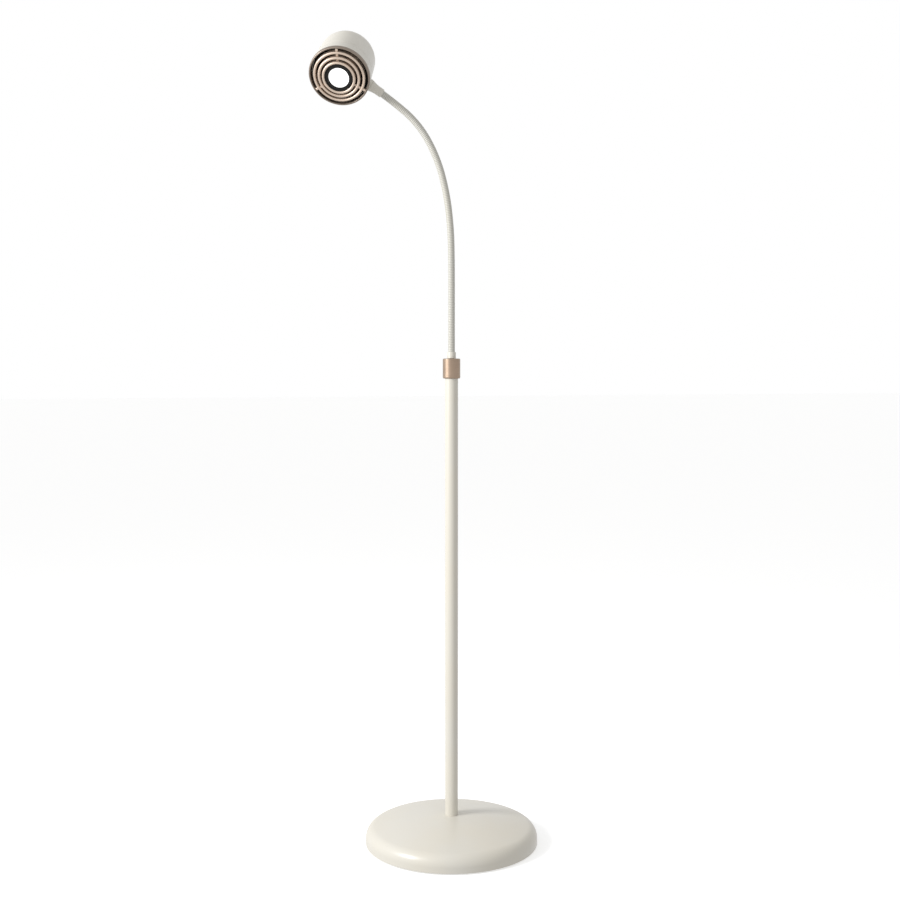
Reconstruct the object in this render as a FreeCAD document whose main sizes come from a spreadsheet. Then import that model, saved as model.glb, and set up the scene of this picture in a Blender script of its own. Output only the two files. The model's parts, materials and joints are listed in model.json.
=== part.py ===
"""Adjustable arm floor lamp: a domed weighted base, a slim pole, a swivelling bronze collar, a bent
gooseneck and a drum-shaped head with a ring grille.

Row frame, in millimetres: +Z is up, the origin is the centre of the foot ring's resting face, and
the gooseneck bends in the XZ plane, towards -X. Every size is a named cell of the sheet "Dims".
"""

import FreeCAD
import Part
import Sketcher
import math
import os
import re

DIMENSIONS = [
    # The base.
    ("base_radius", 127.0, "radius of the domed cover"),
    ("base_height", 42.5, "height of the cover's crown above the floor"),
    ("cover_wall", 1.8, "thickness of the cover"),
    ("cover_lift", 2.0, "height of the cover's rolled rim above the floor"),
    ("rim_thickness", 1.0, "thickness of the rolled rim"),
    ("rim_width", 4.2, "how far the rolled rim reaches inwards under the base plate"),
    ("skirt_top", 10.0, "height where the upright skirt turns into the shoulder"),
    ("shoulder_radius", 18.0, "radius of the rounded shoulder"),
    ("plate_thickness", 1.5, "thickness of the base plate"),
    ("foot_outer", 114.0, "outer radius of the rubber foot ring"),
    ("foot_inner", 104.0, "inner radius of the rubber foot ring"),
    ("weight_radius", 112.0, "radius of the iron weight"),
    ("weight_thickness", 15.0, "thickness of the iron weight's disc"),
    ("boss_radius", 22.0, "radius of the weight's central boss"),
    ("boss_drop", 0.8, "drop from the cover's inner crown to the boss"),
    ("pole_socket", 7.0, "depth of the pole's socket in the boss"),
    ("boss_web", 9.0, "iron between the pole's socket and the nut's seat"),
    ("nut_well", 13.0, "radius of the well around the stud nut"),
    ("stud_washer", 11.0, "radius of the stud nut's washer"),
    ("plate_screw_circle", 82.0, "distance of the plate screws from the centre"),
    # The transformer and the mains entry.
    ("transformer_width", 54.0, "transformer, across"),
    ("transformer_depth", 42.0, "transformer, front to back"),
    ("transformer_height", 24.0, "transformer, height"),
    ("transformer_offset", 62.0, "distance of the transformer from the centre"),
    ("ear_length", 7.0, "length of a mounting ear"),
    ("ear_thickness", 3.0, "thickness of a mounting ear"),
    ("bay_margin", 3.0, "room around the transformer in its bay"),
    ("block_width", 20.0, "terminal block, across"),
    ("block_depth", 9.0, "terminal block, front to back"),
    ("block_height", 9.0, "terminal block, height"),
    ("terminal_well", 2.5, "radius of a terminal's well"),
    ("terminal_offset", 5.0, "distance of a terminal's well from the block's middle"),
    ("block_spacing", 4.0, "distance from the transformer to the terminal block"),
    ("channel_width", 9.0, "width of the cord's channel through the weight"),
    ("entry_height", 10.1, "height of the cord entry above the floor"),
    ("entry_hole", 4.1, "radius of the grommet's hole in the cover"),
    ("grommet_bore", 3.2, "radius of the grommet's bore"),
    ("grommet_flange", 5.2, "radius of the grommet's flanges"),
    ("grommet_round", 1.2, "rounding of the grommet's outer edge"),
    ("grommet_outside", 2.9, "length of the grommet outside the cover"),
    ("grommet_inside", 3.2, "length of the grommet inside the cover"),
    # The pole and the threaded stud that holds it.
    ("pole_radius", 9.5, "radius of the pole"),
    ("pole_wall", 1.5, "wall of the pole"),
    ("collar_base", 688.0, "height of the collar's lower edge above the floor"),
    ("insert_length", 26.0, "length of the threaded insert in the pole's foot"),
    ("stud_radius", 5.0, "radius of the threaded stud"),
    ("stud_bore", 3.2, "radius of the stud's wire way"),
    ("stud_tail", 7.0, "length of the stud below the nut's seat"),
    ("stud_nut_flats", 8.5, "half the width of the stud nut across its flats"),
    ("stud_nut_height", 5.0, "height of the stud nut"),
    ("washer_thickness", 0.9, "thickness of the washers"),
    ("lead_radius", 2.2, "radius of the two-core lead"),
    ("lead_level", 7.2, "height of the lead under the weight"),
    ("trench_room", 1.0, "room around the lead in its trench"),
    ("lead_bend", 9.5, "radius of the lead's bend into the stud"),
    # The collar, where the arm swivels.
    ("collar_radius", 12.7, "radius of the collar"),
    ("collar_height", 29.0, "height of the collar"),
    ("collar_grip", 12.0, "length of pole inside the collar"),
    ("collar_lip", 1.8, "thickness of the lip that holds the bush"),
    ("bush_radius", 7.5, "radius of the swivel bush"),
    ("bush_length", 12.0, "length of the swivel bush"),
    ("stem_radius", 4.5, "radius of the swivelling stem"),
    ("lip_room", 0.5, "room around the stem in the collar's lip"),
    ("clip_thickness", 1.0, "thickness of the retaining clip"),
    ("clip_groove", 0.5, "depth of the clip's groove in the stem"),
    ("clip_radius", 7.0, "radius of the retaining clip"),
    ("clip_gap", 3.6, "width of the clip's mouth"),
    ("set_screw_radius", 1.5, "radius of the collar's set screw"),
    ("socket_radius", 6.35, "radius of the socket that holds the neck's foot"),
    ("socket_height", 9.0, "height of the neck's socket above the collar"),
    ("socket_floor", 1.5, "thickness of the socket's floor"),
    # The gooseneck.
    ("neck_radius", 5.0, "radius of the gooseneck"),
    ("neck_bore", 2.8, "radius of the gooseneck's bore"),
    ("section_length", 52.4, "length of one of the neck's sections"),
    ("bend_1", 0.0, "rest bend of section 1, in degrees"),
    ("bend_2", 0.0, "rest bend of section 2"),
    ("bend_3", 1.0, "rest bend of section 3"),
    ("bend_4", 6.0, "rest bend of section 4"),
    ("bend_5", 9.0, "rest bend of section 5"),
    ("bend_6", 15.0, "rest bend of section 6"),
    ("bend_7", 22.0, "rest bend of section 7"),
    ("bend_8", 6.0, "rest bend of section 8"),
    ("knuckle_trim", 0.1, "how much smaller a section's rounded end is than the section"),
    ("knuckle_mouth", 0.8, "wall of a section's rounded end at its mouth"),
    ("lead_gap", 0.6, "distance from a length of lead to its section's end"),
    ("cone_length", 20.0, "length of the cone at the neck's upper end"),
    ("cone_mouth", 8.0, "radius of the cone where it meets the head"),
    ("cone_neck", 6.2, "radius of the cone where it meets the neck"),
    ("cone_rim", 1.5, "height of the cone's straight rim"),
    ("cone_flare", 40.0, "radius of the cone's hollow side"),
    ("cone_collar", 5.0, "length of the cone's straight end at the neck"),
    ("cone_seat", 7.4, "depth of the stud's seat in the cone"),
    ("cone_room", 0.3, "room around the curved neck in the cone"),
    # The head, a drum with a rounded back.
    ("head_roll", 44.0, "turn of the head about the neck's end, in degrees"),
    ("head_radius", 43.0, "radius of the drum at its front"),
    ("head_length", 80.0, "length of the head from its back to its rim"),
    ("head_taper", 3.5, "narrowing of the drum's side towards the back, in degrees"),
    ("head_wall", 1.2, "thickness of the head's shells"),
    ("back_round", 26.0, "radius of the rounded back edge"),
    ("bezel_depth", 5.0, "depth of the bronze rim in front of the drum"),
    ("seam_height", 58.0, "distance from the back to the drum's seam"),
    ("seam_gap", 0.4, "open seam between the two shells"),
    ("spigot_length", 5.0, "length of the rear shell's spigot"),
    ("swivel_height", 49.0, "distance from the back to the swivel's axis"),
    ("swivel_reach", 1.5, "how far the swivel boss's face lies beyond the drum's front radius"),
    ("swivel_depth", 7.2, "thickness of the swivel boss"),
    ("swivel_radius", 4.0, "radius of the head's hollow stud"),
    ("swivel_bore", 2.9, "radius of the wire ways through the swivels"),
    ("boss_width", 8.4, "radius of the swivel boss"),
    ("head_nut_flats", 6.5, "half the width of the head nut across its flats"),
    ("head_nut_height", 3.0, "height of the head nut"),
    ("ledge_width", 1.6, "width of the ledge inside the front shell"),
    ("ledge_height", 1.4, "height of the ledge inside the front shell"),
    ("vent_inner", 17.0, "distance of a vent's inner end from the head's axis"),
    ("vent_outer", 29.0, "distance of a vent's outer end from the head's axis"),
    ("vent_width", 2.6, "width of a vent"),
    ("vent_depth", 10.0, "depth of the vent cut"),
    # The lamp and what carries it.
    ("carrier_thickness", 1.5, "thickness of the lamp carrier's disc"),
    ("snoot_radius", 18.2, "inner radius of the carrier's tube"),
    ("snoot_wall", 1.0, "wall of the carrier's tube"),
    ("snoot_top", 84.0, "distance from the back to the front of the carrier's tube"),
    ("lamp_seat", 78.4, "distance from the back to the lamp's seat"),
    ("lip_thickness", 1.2, "thickness of the lamp's seat"),
    ("lip_radius", 15.8, "radius of the hole in the lamp's seat"),
    ("lamp_rim", 17.6, "radius of the lamp's rim"),
    ("lamp_rim_height", 3.8, "height of the lamp's rim"),
    ("lamp_shoulder", 15.4, "radius of the reflector under the rim"),
    ("lamp_wall", 1.2, "thickness of the reflector"),
    ("lamp_glass_radius", 15.9, "radius of the lamp's front glass"),
    ("lamp_glass_thickness", 1.4, "thickness of the lamp's front glass"),
    ("lamp_neck", 7.5, "radius of the reflector's neck"),
    ("lamp_neck_top", 57.2, "distance from the back to the top of the reflector's neck"),
    ("lamp_base", 50.2, "distance from the back to the lamp's base"),
    ("lamp_curve", 30.0, "radius of the reflector's bowl"),
    ("lamp_bore", 5.0, "radius of the hole in the reflector's neck"),
    ("capsule_radius", 4.4, "radius of the bulb capsule"),
    ("capsule_base", 52.2, "distance from the back to the capsule's foot"),
    ("capsule_length", 17.0, "length of the capsule's straight side"),
    ("pin_radius", 0.5, "radius of a lamp pin"),
    ("pin_spacing", 4.0, "distance between the lamp pins"),
    ("pin_length", 8.0, "length of a lamp pin"),
    ("holder_radius", 9.0, "radius of the lampholder"),
    ("holder_height", 10.0, "height of the lampholder"),
    ("holder_socket", 0.6, "radius of a pin socket"),
    ("socket_depth", 7.0, "depth of a pin socket"),
    ("bracket_width", 12.0, "width of the lampholder's bracket"),
    ("bracket_sheet", 1.2, "thickness of the bracket"),
    ("bracket_reach", 21.2, "distance of the bracket's legs from the axis"),
    ("bracket_foot", 7.0, "length of the bracket's feet"),
    ("retainer_inner", 14.4, "inner radius of the lamp's retaining ring"),
    ("retainer_thickness", 1.2, "thickness of the lamp's retaining ring"),
    # The push switch in the back.
    ("switch_neck", 6.0, "radius of the switch's threaded neck"),
    ("switch_radius", 8.5, "radius of the switch's body"),
    ("switch_length", 18.0, "distance from the back to the switch's far end"),
    ("switch_proud", 1.5, "how far the switch's neck stands out"),
    ("switch_nut_radius", 9.0, "radius of the switch's ring nut"),
    ("switch_nut_height", 1.8, "height of the switch's ring nut"),
    ("button_radius", 4.4, "radius of the push button"),
    ("button_proud", 4.6, "how far the button stands out of the back"),
    ("button_tail", 4.0, "length of the button inside the back"),
    ("button_well", 8.0, "depth of the button's well"),
    ("wire_radius", 1.1, "radius of a wire in the head"),
    ("wire_spacing", 3.0, "distance between the two wires"),
    ("wire_bend", 5.0, "radius of the wires' bends"),
    ("wire_offset", 13.0, "distance of the wires' upright run from the axis"),
    # The ring grille.
    ("rim_inner", 40.4, "inner radius of the grille's rim"),
    ("rim_round", 1.6, "rounding of the rim's front edge"),
    ("outer_ring_inner", 32.7, "inner radius of the outer ring"),
    ("outer_ring_outer", 36.6, "outer radius of the outer ring"),
    ("outer_ring_rise", 1.5, "height of the outer ring in front of the rim"),
    ("middle_ring_inner", 25.9, "inner radius of the middle ring"),
    ("middle_ring_outer", 29.9, "outer radius of the middle ring"),
    ("middle_ring_rise", 3.2, "height of the middle ring in front of the rim"),
    ("inner_ring_inner", 19.7, "inner radius of the inner ring"),
    ("inner_ring_outer", 23.6, "outer radius of the inner ring"),
    ("inner_ring_rise", 4.6, "height of the inner ring in front of the rim"),
    ("ring_depth", 8.5, "depth of a ring"),
    ("spoke_width", 3.6, "width of a spoke"),
    ("spoke_drop", 0.6, "how far the spokes lie behind the rim's front"),
    ("spoke_turn", 7.0, "turn of the first spoke from the swivel's direction, in degrees"),
    ("grille_spigot", 5.0, "length of the grille's spigot inside the drum"),
    # Screws and clearances.
    ("screw_radius", 1.5, "radius of the small screws' shanks"),
    ("screw_head_radius", 2.8, "radius of the small screws' heads"),
    ("screw_head_height", 1.8, "height of the small screws' heads"),
    ("big_screw_radius", 2.5, "radius of the plate screws' shanks"),
    ("big_screw_head", 4.6, "radius of the plate screws' heads"),
    ("big_screw_length", 12.0, "length of the plate screws' shanks"),
    ("seat_gap", 0.05, "clearance between pieces that are seated on each other"),
    ("run_gap", 0.05, "clearance of a running fit"),
    ("swing_gap", 0.3, "clearance between the neck's sections"),
    ("hex_depth", 0.7, "depth of a screw's socket, as a share of its head's height"),
    ("hex_size", 0.5, "radius of a screw's socket, as a share of its head's"),
    ("hole_gap", 0.2, "clearance of a screw in its hole"),
    ("edge_round", 0.7, "rounding of the collar's, socket's and button's edges"),
    ("cut_margin", 1.0, "how far a cutter reaches past what it cuts"),
]

PLATE_SCREW_COUNT = 4
SECTION_COUNT = 8
VENT_COUNT = 12
SPOKE_COUNT = 3

# Places that several pieces share, as expressions over the sheet.
PLATE_BOTTOM = "(cover_lift + rim_thickness + seat_gap)"
PLATE_TOP = f"({PLATE_BOTTOM} + plate_thickness)"
WEIGHT_BOTTOM = f"({PLATE_TOP} + seat_gap)"
WEIGHT_TOP = f"({WEIGHT_BOTTOM} + weight_thickness)"
BOSS_TOP = "(base_height - cover_wall - boss_drop)"
POLE_BOTTOM = f"({BOSS_TOP} - pole_socket)"
NUT_SEAT = f"({POLE_BOTTOM} - boss_web)"
POLE_TOP = "(collar_base + collar_grip)"
COLLAR_TOP = "(collar_base + collar_height)"
BUSH_TOP = f"({COLLAR_TOP} - collar_lip - seat_gap)"
BUSH_BOTTOM = f"({BUSH_TOP} - bush_length)"
SWIVEL_WASHER = f"({BUSH_BOTTOM} - seat_gap - washer_thickness)"
CLIP_BOTTOM = f"({SWIVEL_WASHER} - seat_gap - clip_thickness)"
STEM_BOTTOM = f"({CLIP_BOTTOM} - clip_thickness)"
SOCKET_BOTTOM = f"({COLLAR_TOP} + swing_gap)"
NECK_START = f"({SOCKET_BOTTOM} + socket_floor + seat_gap)"
SWIVEL_FACE = "(head_radius + swivel_reach)"
CONE_BOTTOM = f"({SWIVEL_FACE} + run_gap)"
NECK_SEAT = f"({CONE_BOTTOM} + cone_seat)"
BAY_NEAR = "(transformer_offset - transformer_depth / 2 - bay_margin)"
BLOCK_NEAR = "(transformer_offset + transformer_depth / 2 + block_spacing)"
BAY_FAR = f"({BLOCK_NEAR} + block_depth + bay_margin)"
BAY_HALF = "(transformer_width / 2 + ear_length + bay_margin)"
BEZEL_BOTTOM = "(head_length - bezel_depth)"
CARRIER_BOTTOM = "(seam_height + spigot_length + seat_gap)"
CARRIER_TOP = f"({CARRIER_BOTTOM} + carrier_thickness)"
LEDGE_BOTTOM = f"({CARRIER_TOP} + seat_gap)"
BACK_CENTRE = (
    "(head_radius - (head_length - bezel_depth - back_round + back_round * sin(head_taper))"
    " * tan(head_taper) - back_round * cos(head_taper))"
)
HOLDER_TOP = "(lamp_base - seat_gap)"
HOLDER_BOTTOM = f"({HOLDER_TOP} - holder_height)"
BRACKET_TOP = f"({HOLDER_BOTTOM} - seat_gap)"
FEET_TOP = f"({CARRIER_BOTTOM} - seat_gap)"
FEET_BOTTOM = f"({FEET_TOP} - bracket_sheet)"
FOOT_SCREW = "(bracket_reach + bracket_foot / 2)"
EAR_SCREW = "(transformer_width / 2 + ear_length / 2)"

H_AXIS, V_AXIS, ORIGIN = -1, -2, -1
START, END, CENTRE = 1, 2, 3
X, Y, Z = FreeCAD.Vector(1, 0, 0), FreeCAD.Vector(0, 1, 0), FreeCAD.Vector(0, 0, 1)
NO_TURN = FreeCAD.Rotation()
TURNS_LEFT, TURNS_RIGHT = "left", "right"

DOC = FreeCAD.newDocument("floor_lamp")
SHEET = DOC.addObject("Spreadsheet::Sheet", "Dims")
ALIASES = {alias for alias, value, meaning in DIMENSIONS}
PIECES = []


# ---------------------------------------------------------------- the sheet and its expressions


def fill_sheet():
    """Write each dimension as a row: its meaning, and its value under its alias."""
    for row, (alias, value, meaning) in enumerate(DIMENSIONS, start=1):
        SHEET.set(f"A{row}", meaning)
        SHEET.set(f"B{row}", str(value))
        SHEET.setAlias(f"B{row}", alias)
    DOC.recompute()


def bound(expression):
    """The expression with each dimension's name turned into a reference to the sheet."""
    return re.sub(
        r"[a-z][a-z0-9_]*",
        lambda word: f"Dims.{word[0]}" if word[0] in ALIASES else word[0],
        expression,
    )


def number(expression):
    """What an expression comes to now."""
    return float(SHEET.evalExpression(bound(expression)))


def bind(thing, **expressions):
    """Bind properties of an object to expressions."""
    for name, expression in expressions.items():
        thing.setExpression(name, bound(expression))
    return thing


def place(x="0", y="0", z="0", rotation=NO_TURN):
    """A placement from three expressions and a rotation."""
    return FreeCAD.Placement(FreeCAD.Vector(number(x), number(y), number(z)), rotation)


# ---------------------------------------------------------------- sketches


def side(z):
    """The drum's outer radius at a height above its back."""
    return f"(head_radius - (head_length - bezel_depth - {z}) * tan(head_taper))"


def sketch_on(body, role, offset="0"):
    """An empty sketch on one of the body's own origin planes, moved along the plane's normal."""
    plane = next(feature for feature in body.Origin.OriginFeatures if feature.Role == role)
    sketch = body.newObject("Sketcher::SketchObject", f"{body.Name}_sketch")
    sketch.AttachmentSupport = (plane, [""])
    sketch.MapMode = "FlatFace"
    if offset != "0":
        sketch.setExpression("AttachmentOffset.Base.z", bound(offset))
    return sketch


def pin_point(sketch, edge, end, across, up):
    """Hold an edge's end or centre at two expressions, measured from the sketch's origin."""
    for kind, axis, expression in (("DistanceX", V_AXIS, across), ("DistanceY", H_AXIS, up)):
        if expression == "0":
            sketch.addConstraint(Sketcher.Constraint("PointOnObject", edge, end, axis))
            continue
        value = number(expression)
        held = Sketcher.Constraint(kind, ORIGIN, START, edge, end, value)
        index = sketch.addConstraint(held)
        sketch.setExpression(f"Constraints[{index}]", bound(expression))


def hold_radius(sketch, edge, radius):
    """Bind the radius of a circle or an arc."""
    index = sketch.addConstraint(Sketcher.Constraint("Radius", edge, number(radius)))
    sketch.setExpression(f"Constraints[{index}]", bound(radius))


def add_arc(sketch, first, last, turn, radius):
    """Add the shorter arc from first to last that turns left or right. Gives the edge and its ends."""
    half = (last - first) / 2
    rise = math.sqrt(max(radius**2 - half.Length**2, 0.0))
    sideways = FreeCAD.Vector(-half.y, half.x, 0).normalize() * rise
    centre = first + half + (sideways if turn == TURNS_LEFT else -sideways)
    angles = [math.atan2(point.y - centre.y, point.x - centre.x) for point in (first, last)]
    if turn == TURNS_RIGHT:
        angles.reverse()
    edge = sketch.addGeometry(Part.ArcOfCircle(Part.Circle(centre, Z, radius), *angles))
    return (edge, START, END) if turn == TURNS_LEFT else (edge, END, START)


def draw_path(sketch, corners, closed):
    """Draw edges through the corners. A corner is (across, up), or (across, up, turn, radius) where an
    arc that turns that way leads on to the next corner."""
    points = [FreeCAD.Vector(number(corner[0]), number(corner[1]), 0) for corner in corners]
    edges = []
    for index in range(len(corners) if closed else len(corners) - 1):
        first, last = points[index], points[(index + 1) % len(points)]
        if len(corners[index]) == 2:
            edges.append((sketch.addGeometry(Part.LineSegment(first, last)), START, END))
        else:
            turn, radius = corners[index][2:]
            edges.append(add_arc(sketch, first, last, turn, number(radius)))
    for index, (edge, tail, tip) in enumerate(edges):
        pin_point(sketch, edge, tail, *corners[index][:2])
        if len(corners[index]) > 2:
            hold_radius(sketch, edge, corners[index][3])
        if closed or index + 1 < len(edges):
            follower, start, _ = edges[(index + 1) % len(edges)]
            sketch.addConstraint(Sketcher.Constraint("Coincident", edge, tip, follower, start))
        else:
            pin_point(sketch, edge, tip, *corners[-1][:2])
    return sketch


def draw_circle(sketch, radius, across="0", up="0"):
    """Draw a circle."""
    centre = FreeCAD.Vector(number(across), number(up), 0)
    edge = sketch.addGeometry(Part.Circle(centre, Z, number(radius)))
    hold_radius(sketch, edge, radius)
    if across == up == "0":
        sketch.addConstraint(Sketcher.Constraint("Coincident", edge, CENTRE, ORIGIN, START))
    else:
        pin_point(sketch, edge, CENTRE, across, up)
    return sketch


# ---------------------------------------------------------------- features and finished pieces


def new_body(name, placement=None):
    """A body that will be written out as one sub-part."""
    body = DOC.addObject("PartDesign::Body", name)
    return finish(body, name, placement)


def finish(piece, name, placement=None):
    """List an object as a sub-part under its label, at its place."""
    piece.Label = name
    if placement is not None:
        piece.Placement = placement
    PIECES.append(piece)
    return piece


def revolve(body, *corners):
    """Turn a closed outline of (radius, height) corners about the body's Z axis."""
    sketch = draw_path(sketch_on(body, "XZ_Plane"), corners, closed=True)
    feature = body.newObject("PartDesign::Revolution", f"{body.Name}_turned")
    feature.Profile = sketch
    feature.ReferenceAxis = (sketch, ["V_Axis"])
    feature.Angle = 360
    return feature


def pad(body, sketch, length):
    """Raise a sketch along its plane's normal."""
    feature = body.newObject("PartDesign::Pad", f"{body.Name}_pad")
    feature.Profile = sketch
    return bind(feature, Length=length)


def pocket(body, sketch, length, upwards=False):
    """Cut a sketch against its plane's normal, or along it, and make sure that it cuts something."""
    DOC.recompute()
    before = body.Shape.Volume
    feature = body.newObject("PartDesign::Pocket", f"{body.Name}_cut")
    feature.Profile = sketch
    feature.Reversed = upwards
    bind(feature, Length=length)
    DOC.recompute()
    if body.Shape.Volume >= before:
        raise RuntimeError(f"a cut in {body.Label} removes nothing")
    return feature


def ring_of(body, feature, count):
    """Repeat a feature around the body's Z axis."""
    pattern = body.newObject("PartDesign::PolarPattern", f"{body.Name}_ring")
    pattern.Originals = [feature]
    pattern.Axis = (next(f for f in body.Origin.OriginFeatures if f.Role == "Z_Axis"), [""])
    pattern.Angle = 360
    pattern.Occurrences = count
    body.Tip = pattern
    return pattern


def disc(name, outer, inner, bottom, thickness, placement=None):
    """A flat ring, or a short tube: a washer, bush or plate. Gives its body."""
    body = new_body(name, placement)
    sketch = sketch_on(body, "XY_Plane", bottom)
    draw_circle(sketch, outer)
    draw_circle(sketch, inner)
    pad(body, sketch, thickness)
    return body


def primitive(kind, name, placement=None, **sizes):
    """A Part primitive with its sizes bound to expressions."""
    solid = bind(DOC.addObject(f"Part::{kind}", name), **sizes)
    if placement is not None:
        solid.Placement = placement
    return solid


def fuse(name, *solids):
    """Join several solids."""
    joined = DOC.addObject("Part::MultiFuse", name)
    joined.Shapes = list(solids)
    return joined


def cut(name, base, *tools):
    """Cut tools out of a solid."""
    removed = DOC.addObject("Part::Cut", name)
    removed.Base = base
    removed.Tool = tools[0] if len(tools) == 1 else fuse(f"{name}_tools", *tools)
    return removed


def group(name, solids):
    """Keep identical pieces together as separate solids of one sub-part."""
    compound = DOC.addObject("Part::Compound", name)
    compound.Links = list(solids)
    return finish(compound, name)


def around(count, distance, z):
    """Placements evenly round a circle about the Z axis."""
    for index in range(count):
        turn = FreeCAD.Rotation(Z, 360.0 * index / count)
        centre = FreeCAD.Vector(number(distance), 0, number(z))
        yield FreeCAD.Placement(turn.multVec(centre), turn)


def screw(name, placement, shank, length, head, head_height):
    """A socket-headed screw whose head hangs below z = 0 and whose shank points up."""
    body = fuse(
        f"{name}_blank",
        primitive("Cylinder", f"{name}_shank", Radius=shank, Height=length),
        primitive(
            "Cylinder", f"{name}_head", place(z=f"-({head_height})"), Radius=head, Height=head_height
        ),
    )
    socket = primitive(
        "Prism",
        f"{name}_socket",
        place(z=f"-({head_height}) - seat_gap"),
        Circumradius=f"{head} * hex_size",
        Height=f"{head_height} * hex_depth",
    )
    finished = cut(name, body, socket)
    finished.Placement = placement
    return finished


def hex_nut(name, placement, flats, bore, bottom, height):
    """A hexagon nut on the Z axis of a placement."""
    blank = primitive(
        "Prism", f"{name}_blank", place(z=bottom), Circumradius=f"{flats} / cos(30)", Height=height
    )
    hole = primitive(
        "Cylinder",
        f"{name}_hole",
        place(z=f"{bottom} - cut_margin"),
        Radius=bore,
        Height=f"{height} + 2 * cut_margin",
    )
    return finish(cut(name, blank, hole), name, placement)


# ---------------------------------------------------------------- the base


def dome_points(inset):
    """Where the dome meets the shoulder, and the dome's radius, for a surface set in from the cover's
    outside. The dome's circle touches the shoulder's circle from within."""
    run = "(base_radius - shoulder_radius)"
    drop = "(base_height - skirt_top)"
    dome = f"(({run}^2 + {drop}^2 - shoulder_radius^2) / (2 * ({drop} - shoulder_radius)))"
    across = f"({run} / ({dome} - shoulder_radius) * ({dome} - {inset}))"
    up = f"(base_height - {dome} + ({dome} - {drop}) / ({dome} - shoulder_radius) * ({dome} - {inset}))"
    return across, up, f"({dome} - {inset})"


def crown_at(radius, inset):
    """Height of the dome, set in from the cover's outside, at a distance from the centre."""
    dome = dome_points(inset)[2]
    return f"(base_height - {inset} - {dome} + sqrt({dome}^2 - ({radius})^2))"


def build_cover():
    """The domed cover: a spun shell with a rounded shoulder and a rim rolled in under the plate."""
    body = new_body("base_cover")
    hole = "(pole_radius + 2 * seat_gap)"
    outer_x, outer_z, outer_dome = dome_points("0")
    inner_x, inner_z, inner_dome = dome_points("cover_wall")
    inside = "(base_radius - cover_wall)"
    revolve(
        body,
        ("base_radius - rim_width - cover_wall", "cover_lift"),
        ("base_radius", "cover_lift"),
        ("base_radius", "skirt_top", TURNS_LEFT, "shoulder_radius"),
        (outer_x, outer_z, TURNS_LEFT, outer_dome),
        (hole, crown_at(hole, "0")),
        (hole, crown_at(hole, "cover_wall"), TURNS_RIGHT, inner_dome),
        (inner_x, inner_z, TURNS_RIGHT, "shoulder_radius - cover_wall"),
        (inside, "skirt_top"),
        (inside, "cover_lift + rim_thickness"),
        ("base_radius - rim_width - cover_wall", "cover_lift + rim_thickness"),
    )
    entry = sketch_on(body, "XZ_Plane", "-(base_radius + grommet_outside)")
    draw_circle(entry, "entry_hole", "0", "entry_height")
    pocket(body, entry, "grommet_outside + 3 * cover_wall", upwards=True)


def build_weight():
    """The cast-iron weight: a disc with a boss for the pole, a bay for the transformer, a channel for
    the cord and a trench for the lead."""
    body = new_body("base_weight")
    revolve(
        body,
        ("stud_radius + seat_gap", NUT_SEAT),
        ("nut_well", NUT_SEAT),
        ("nut_well", WEIGHT_BOTTOM),
        ("weight_radius", WEIGHT_BOTTOM),
        ("weight_radius", WEIGHT_TOP),
        ("boss_radius", WEIGHT_TOP),
        ("boss_radius", BOSS_TOP),
        ("pole_radius + seat_gap", BOSS_TOP),
        ("pole_radius + seat_gap", POLE_BOTTOM),
        ("stud_radius + seat_gap", POLE_BOTTOM),
    )
    bay = draw_path(
        sketch_on(body, "XY_Plane", f"{WEIGHT_TOP} + cut_margin"),
        [
            (f"-{BAY_HALF}", BAY_NEAR),
            (BAY_HALF, BAY_NEAR),
            (BAY_HALF, BAY_FAR),
            ("channel_width / 2", BAY_FAR),
            ("channel_width / 2", "weight_radius + cut_margin"),
            ("-channel_width / 2", "weight_radius + cut_margin"),
            ("-channel_width / 2", BAY_FAR),
            (f"-{BAY_HALF}", BAY_FAR),
        ],
        closed=True,
    )
    pocket(body, bay, "weight_thickness + 2 * cut_margin")
    beside_lead = "(lead_radius + trench_room)"
    trench = draw_path(
        sketch_on(body, "XY_Plane", WEIGHT_BOTTOM),
        [
            (f"-{beside_lead}", "0"),
            (beside_lead, "0"),
            (beside_lead, f"{BAY_NEAR} + cut_margin"),
            (f"-{beside_lead}", f"{BAY_NEAR} + cut_margin"),
        ],
        closed=True,
    )
    pocket(body, trench, f"lead_level + {beside_lead} - {WEIGHT_BOTTOM}", upwards=True)


def build_plate():
    """The steel base plate and the rubber ring that it stands on."""
    body = new_body("base_plate")
    sketch = sketch_on(body, "XY_Plane", PLATE_BOTTOM)
    draw_circle(sketch, "base_radius - cover_wall - hole_gap")
    pad(body, sketch, "plate_thickness")
    hole = sketch_on(body, "XY_Plane", PLATE_TOP)
    draw_circle(hole, "big_screw_radius + hole_gap", "plate_screw_circle", "0")
    first = pocket(body, hole, "plate_thickness")
    ring_of(body, first, PLATE_SCREW_COUNT)
    ears = sketch_on(body, "XY_Plane", PLATE_TOP)
    for sign in ("", "-"):
        draw_circle(ears, "screw_radius + seat_gap", f"{sign}{EAR_SCREW}", "transformer_offset")
    body.Tip = pocket(body, ears, "plate_thickness")
    disc("foot_ring", "foot_outer", "foot_inner", "0", PLATE_BOTTOM)


def build_plate_screws():
    """The screws that hold the plate to the weight. Their heads lie under the plate."""
    head_height = f"({PLATE_BOTTOM} - cover_lift)"
    places = around(PLATE_SCREW_COUNT, "plate_screw_circle", PLATE_BOTTOM)
    screws = [
        screw(
            f"plate_screw_{index}",
            spot,
            "big_screw_radius",
            "plate_thickness + seat_gap",
            "big_screw_head",
            head_height,
        )
        for index, spot in enumerate(places)
    ]
    group("plate_screws", screws)


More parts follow.
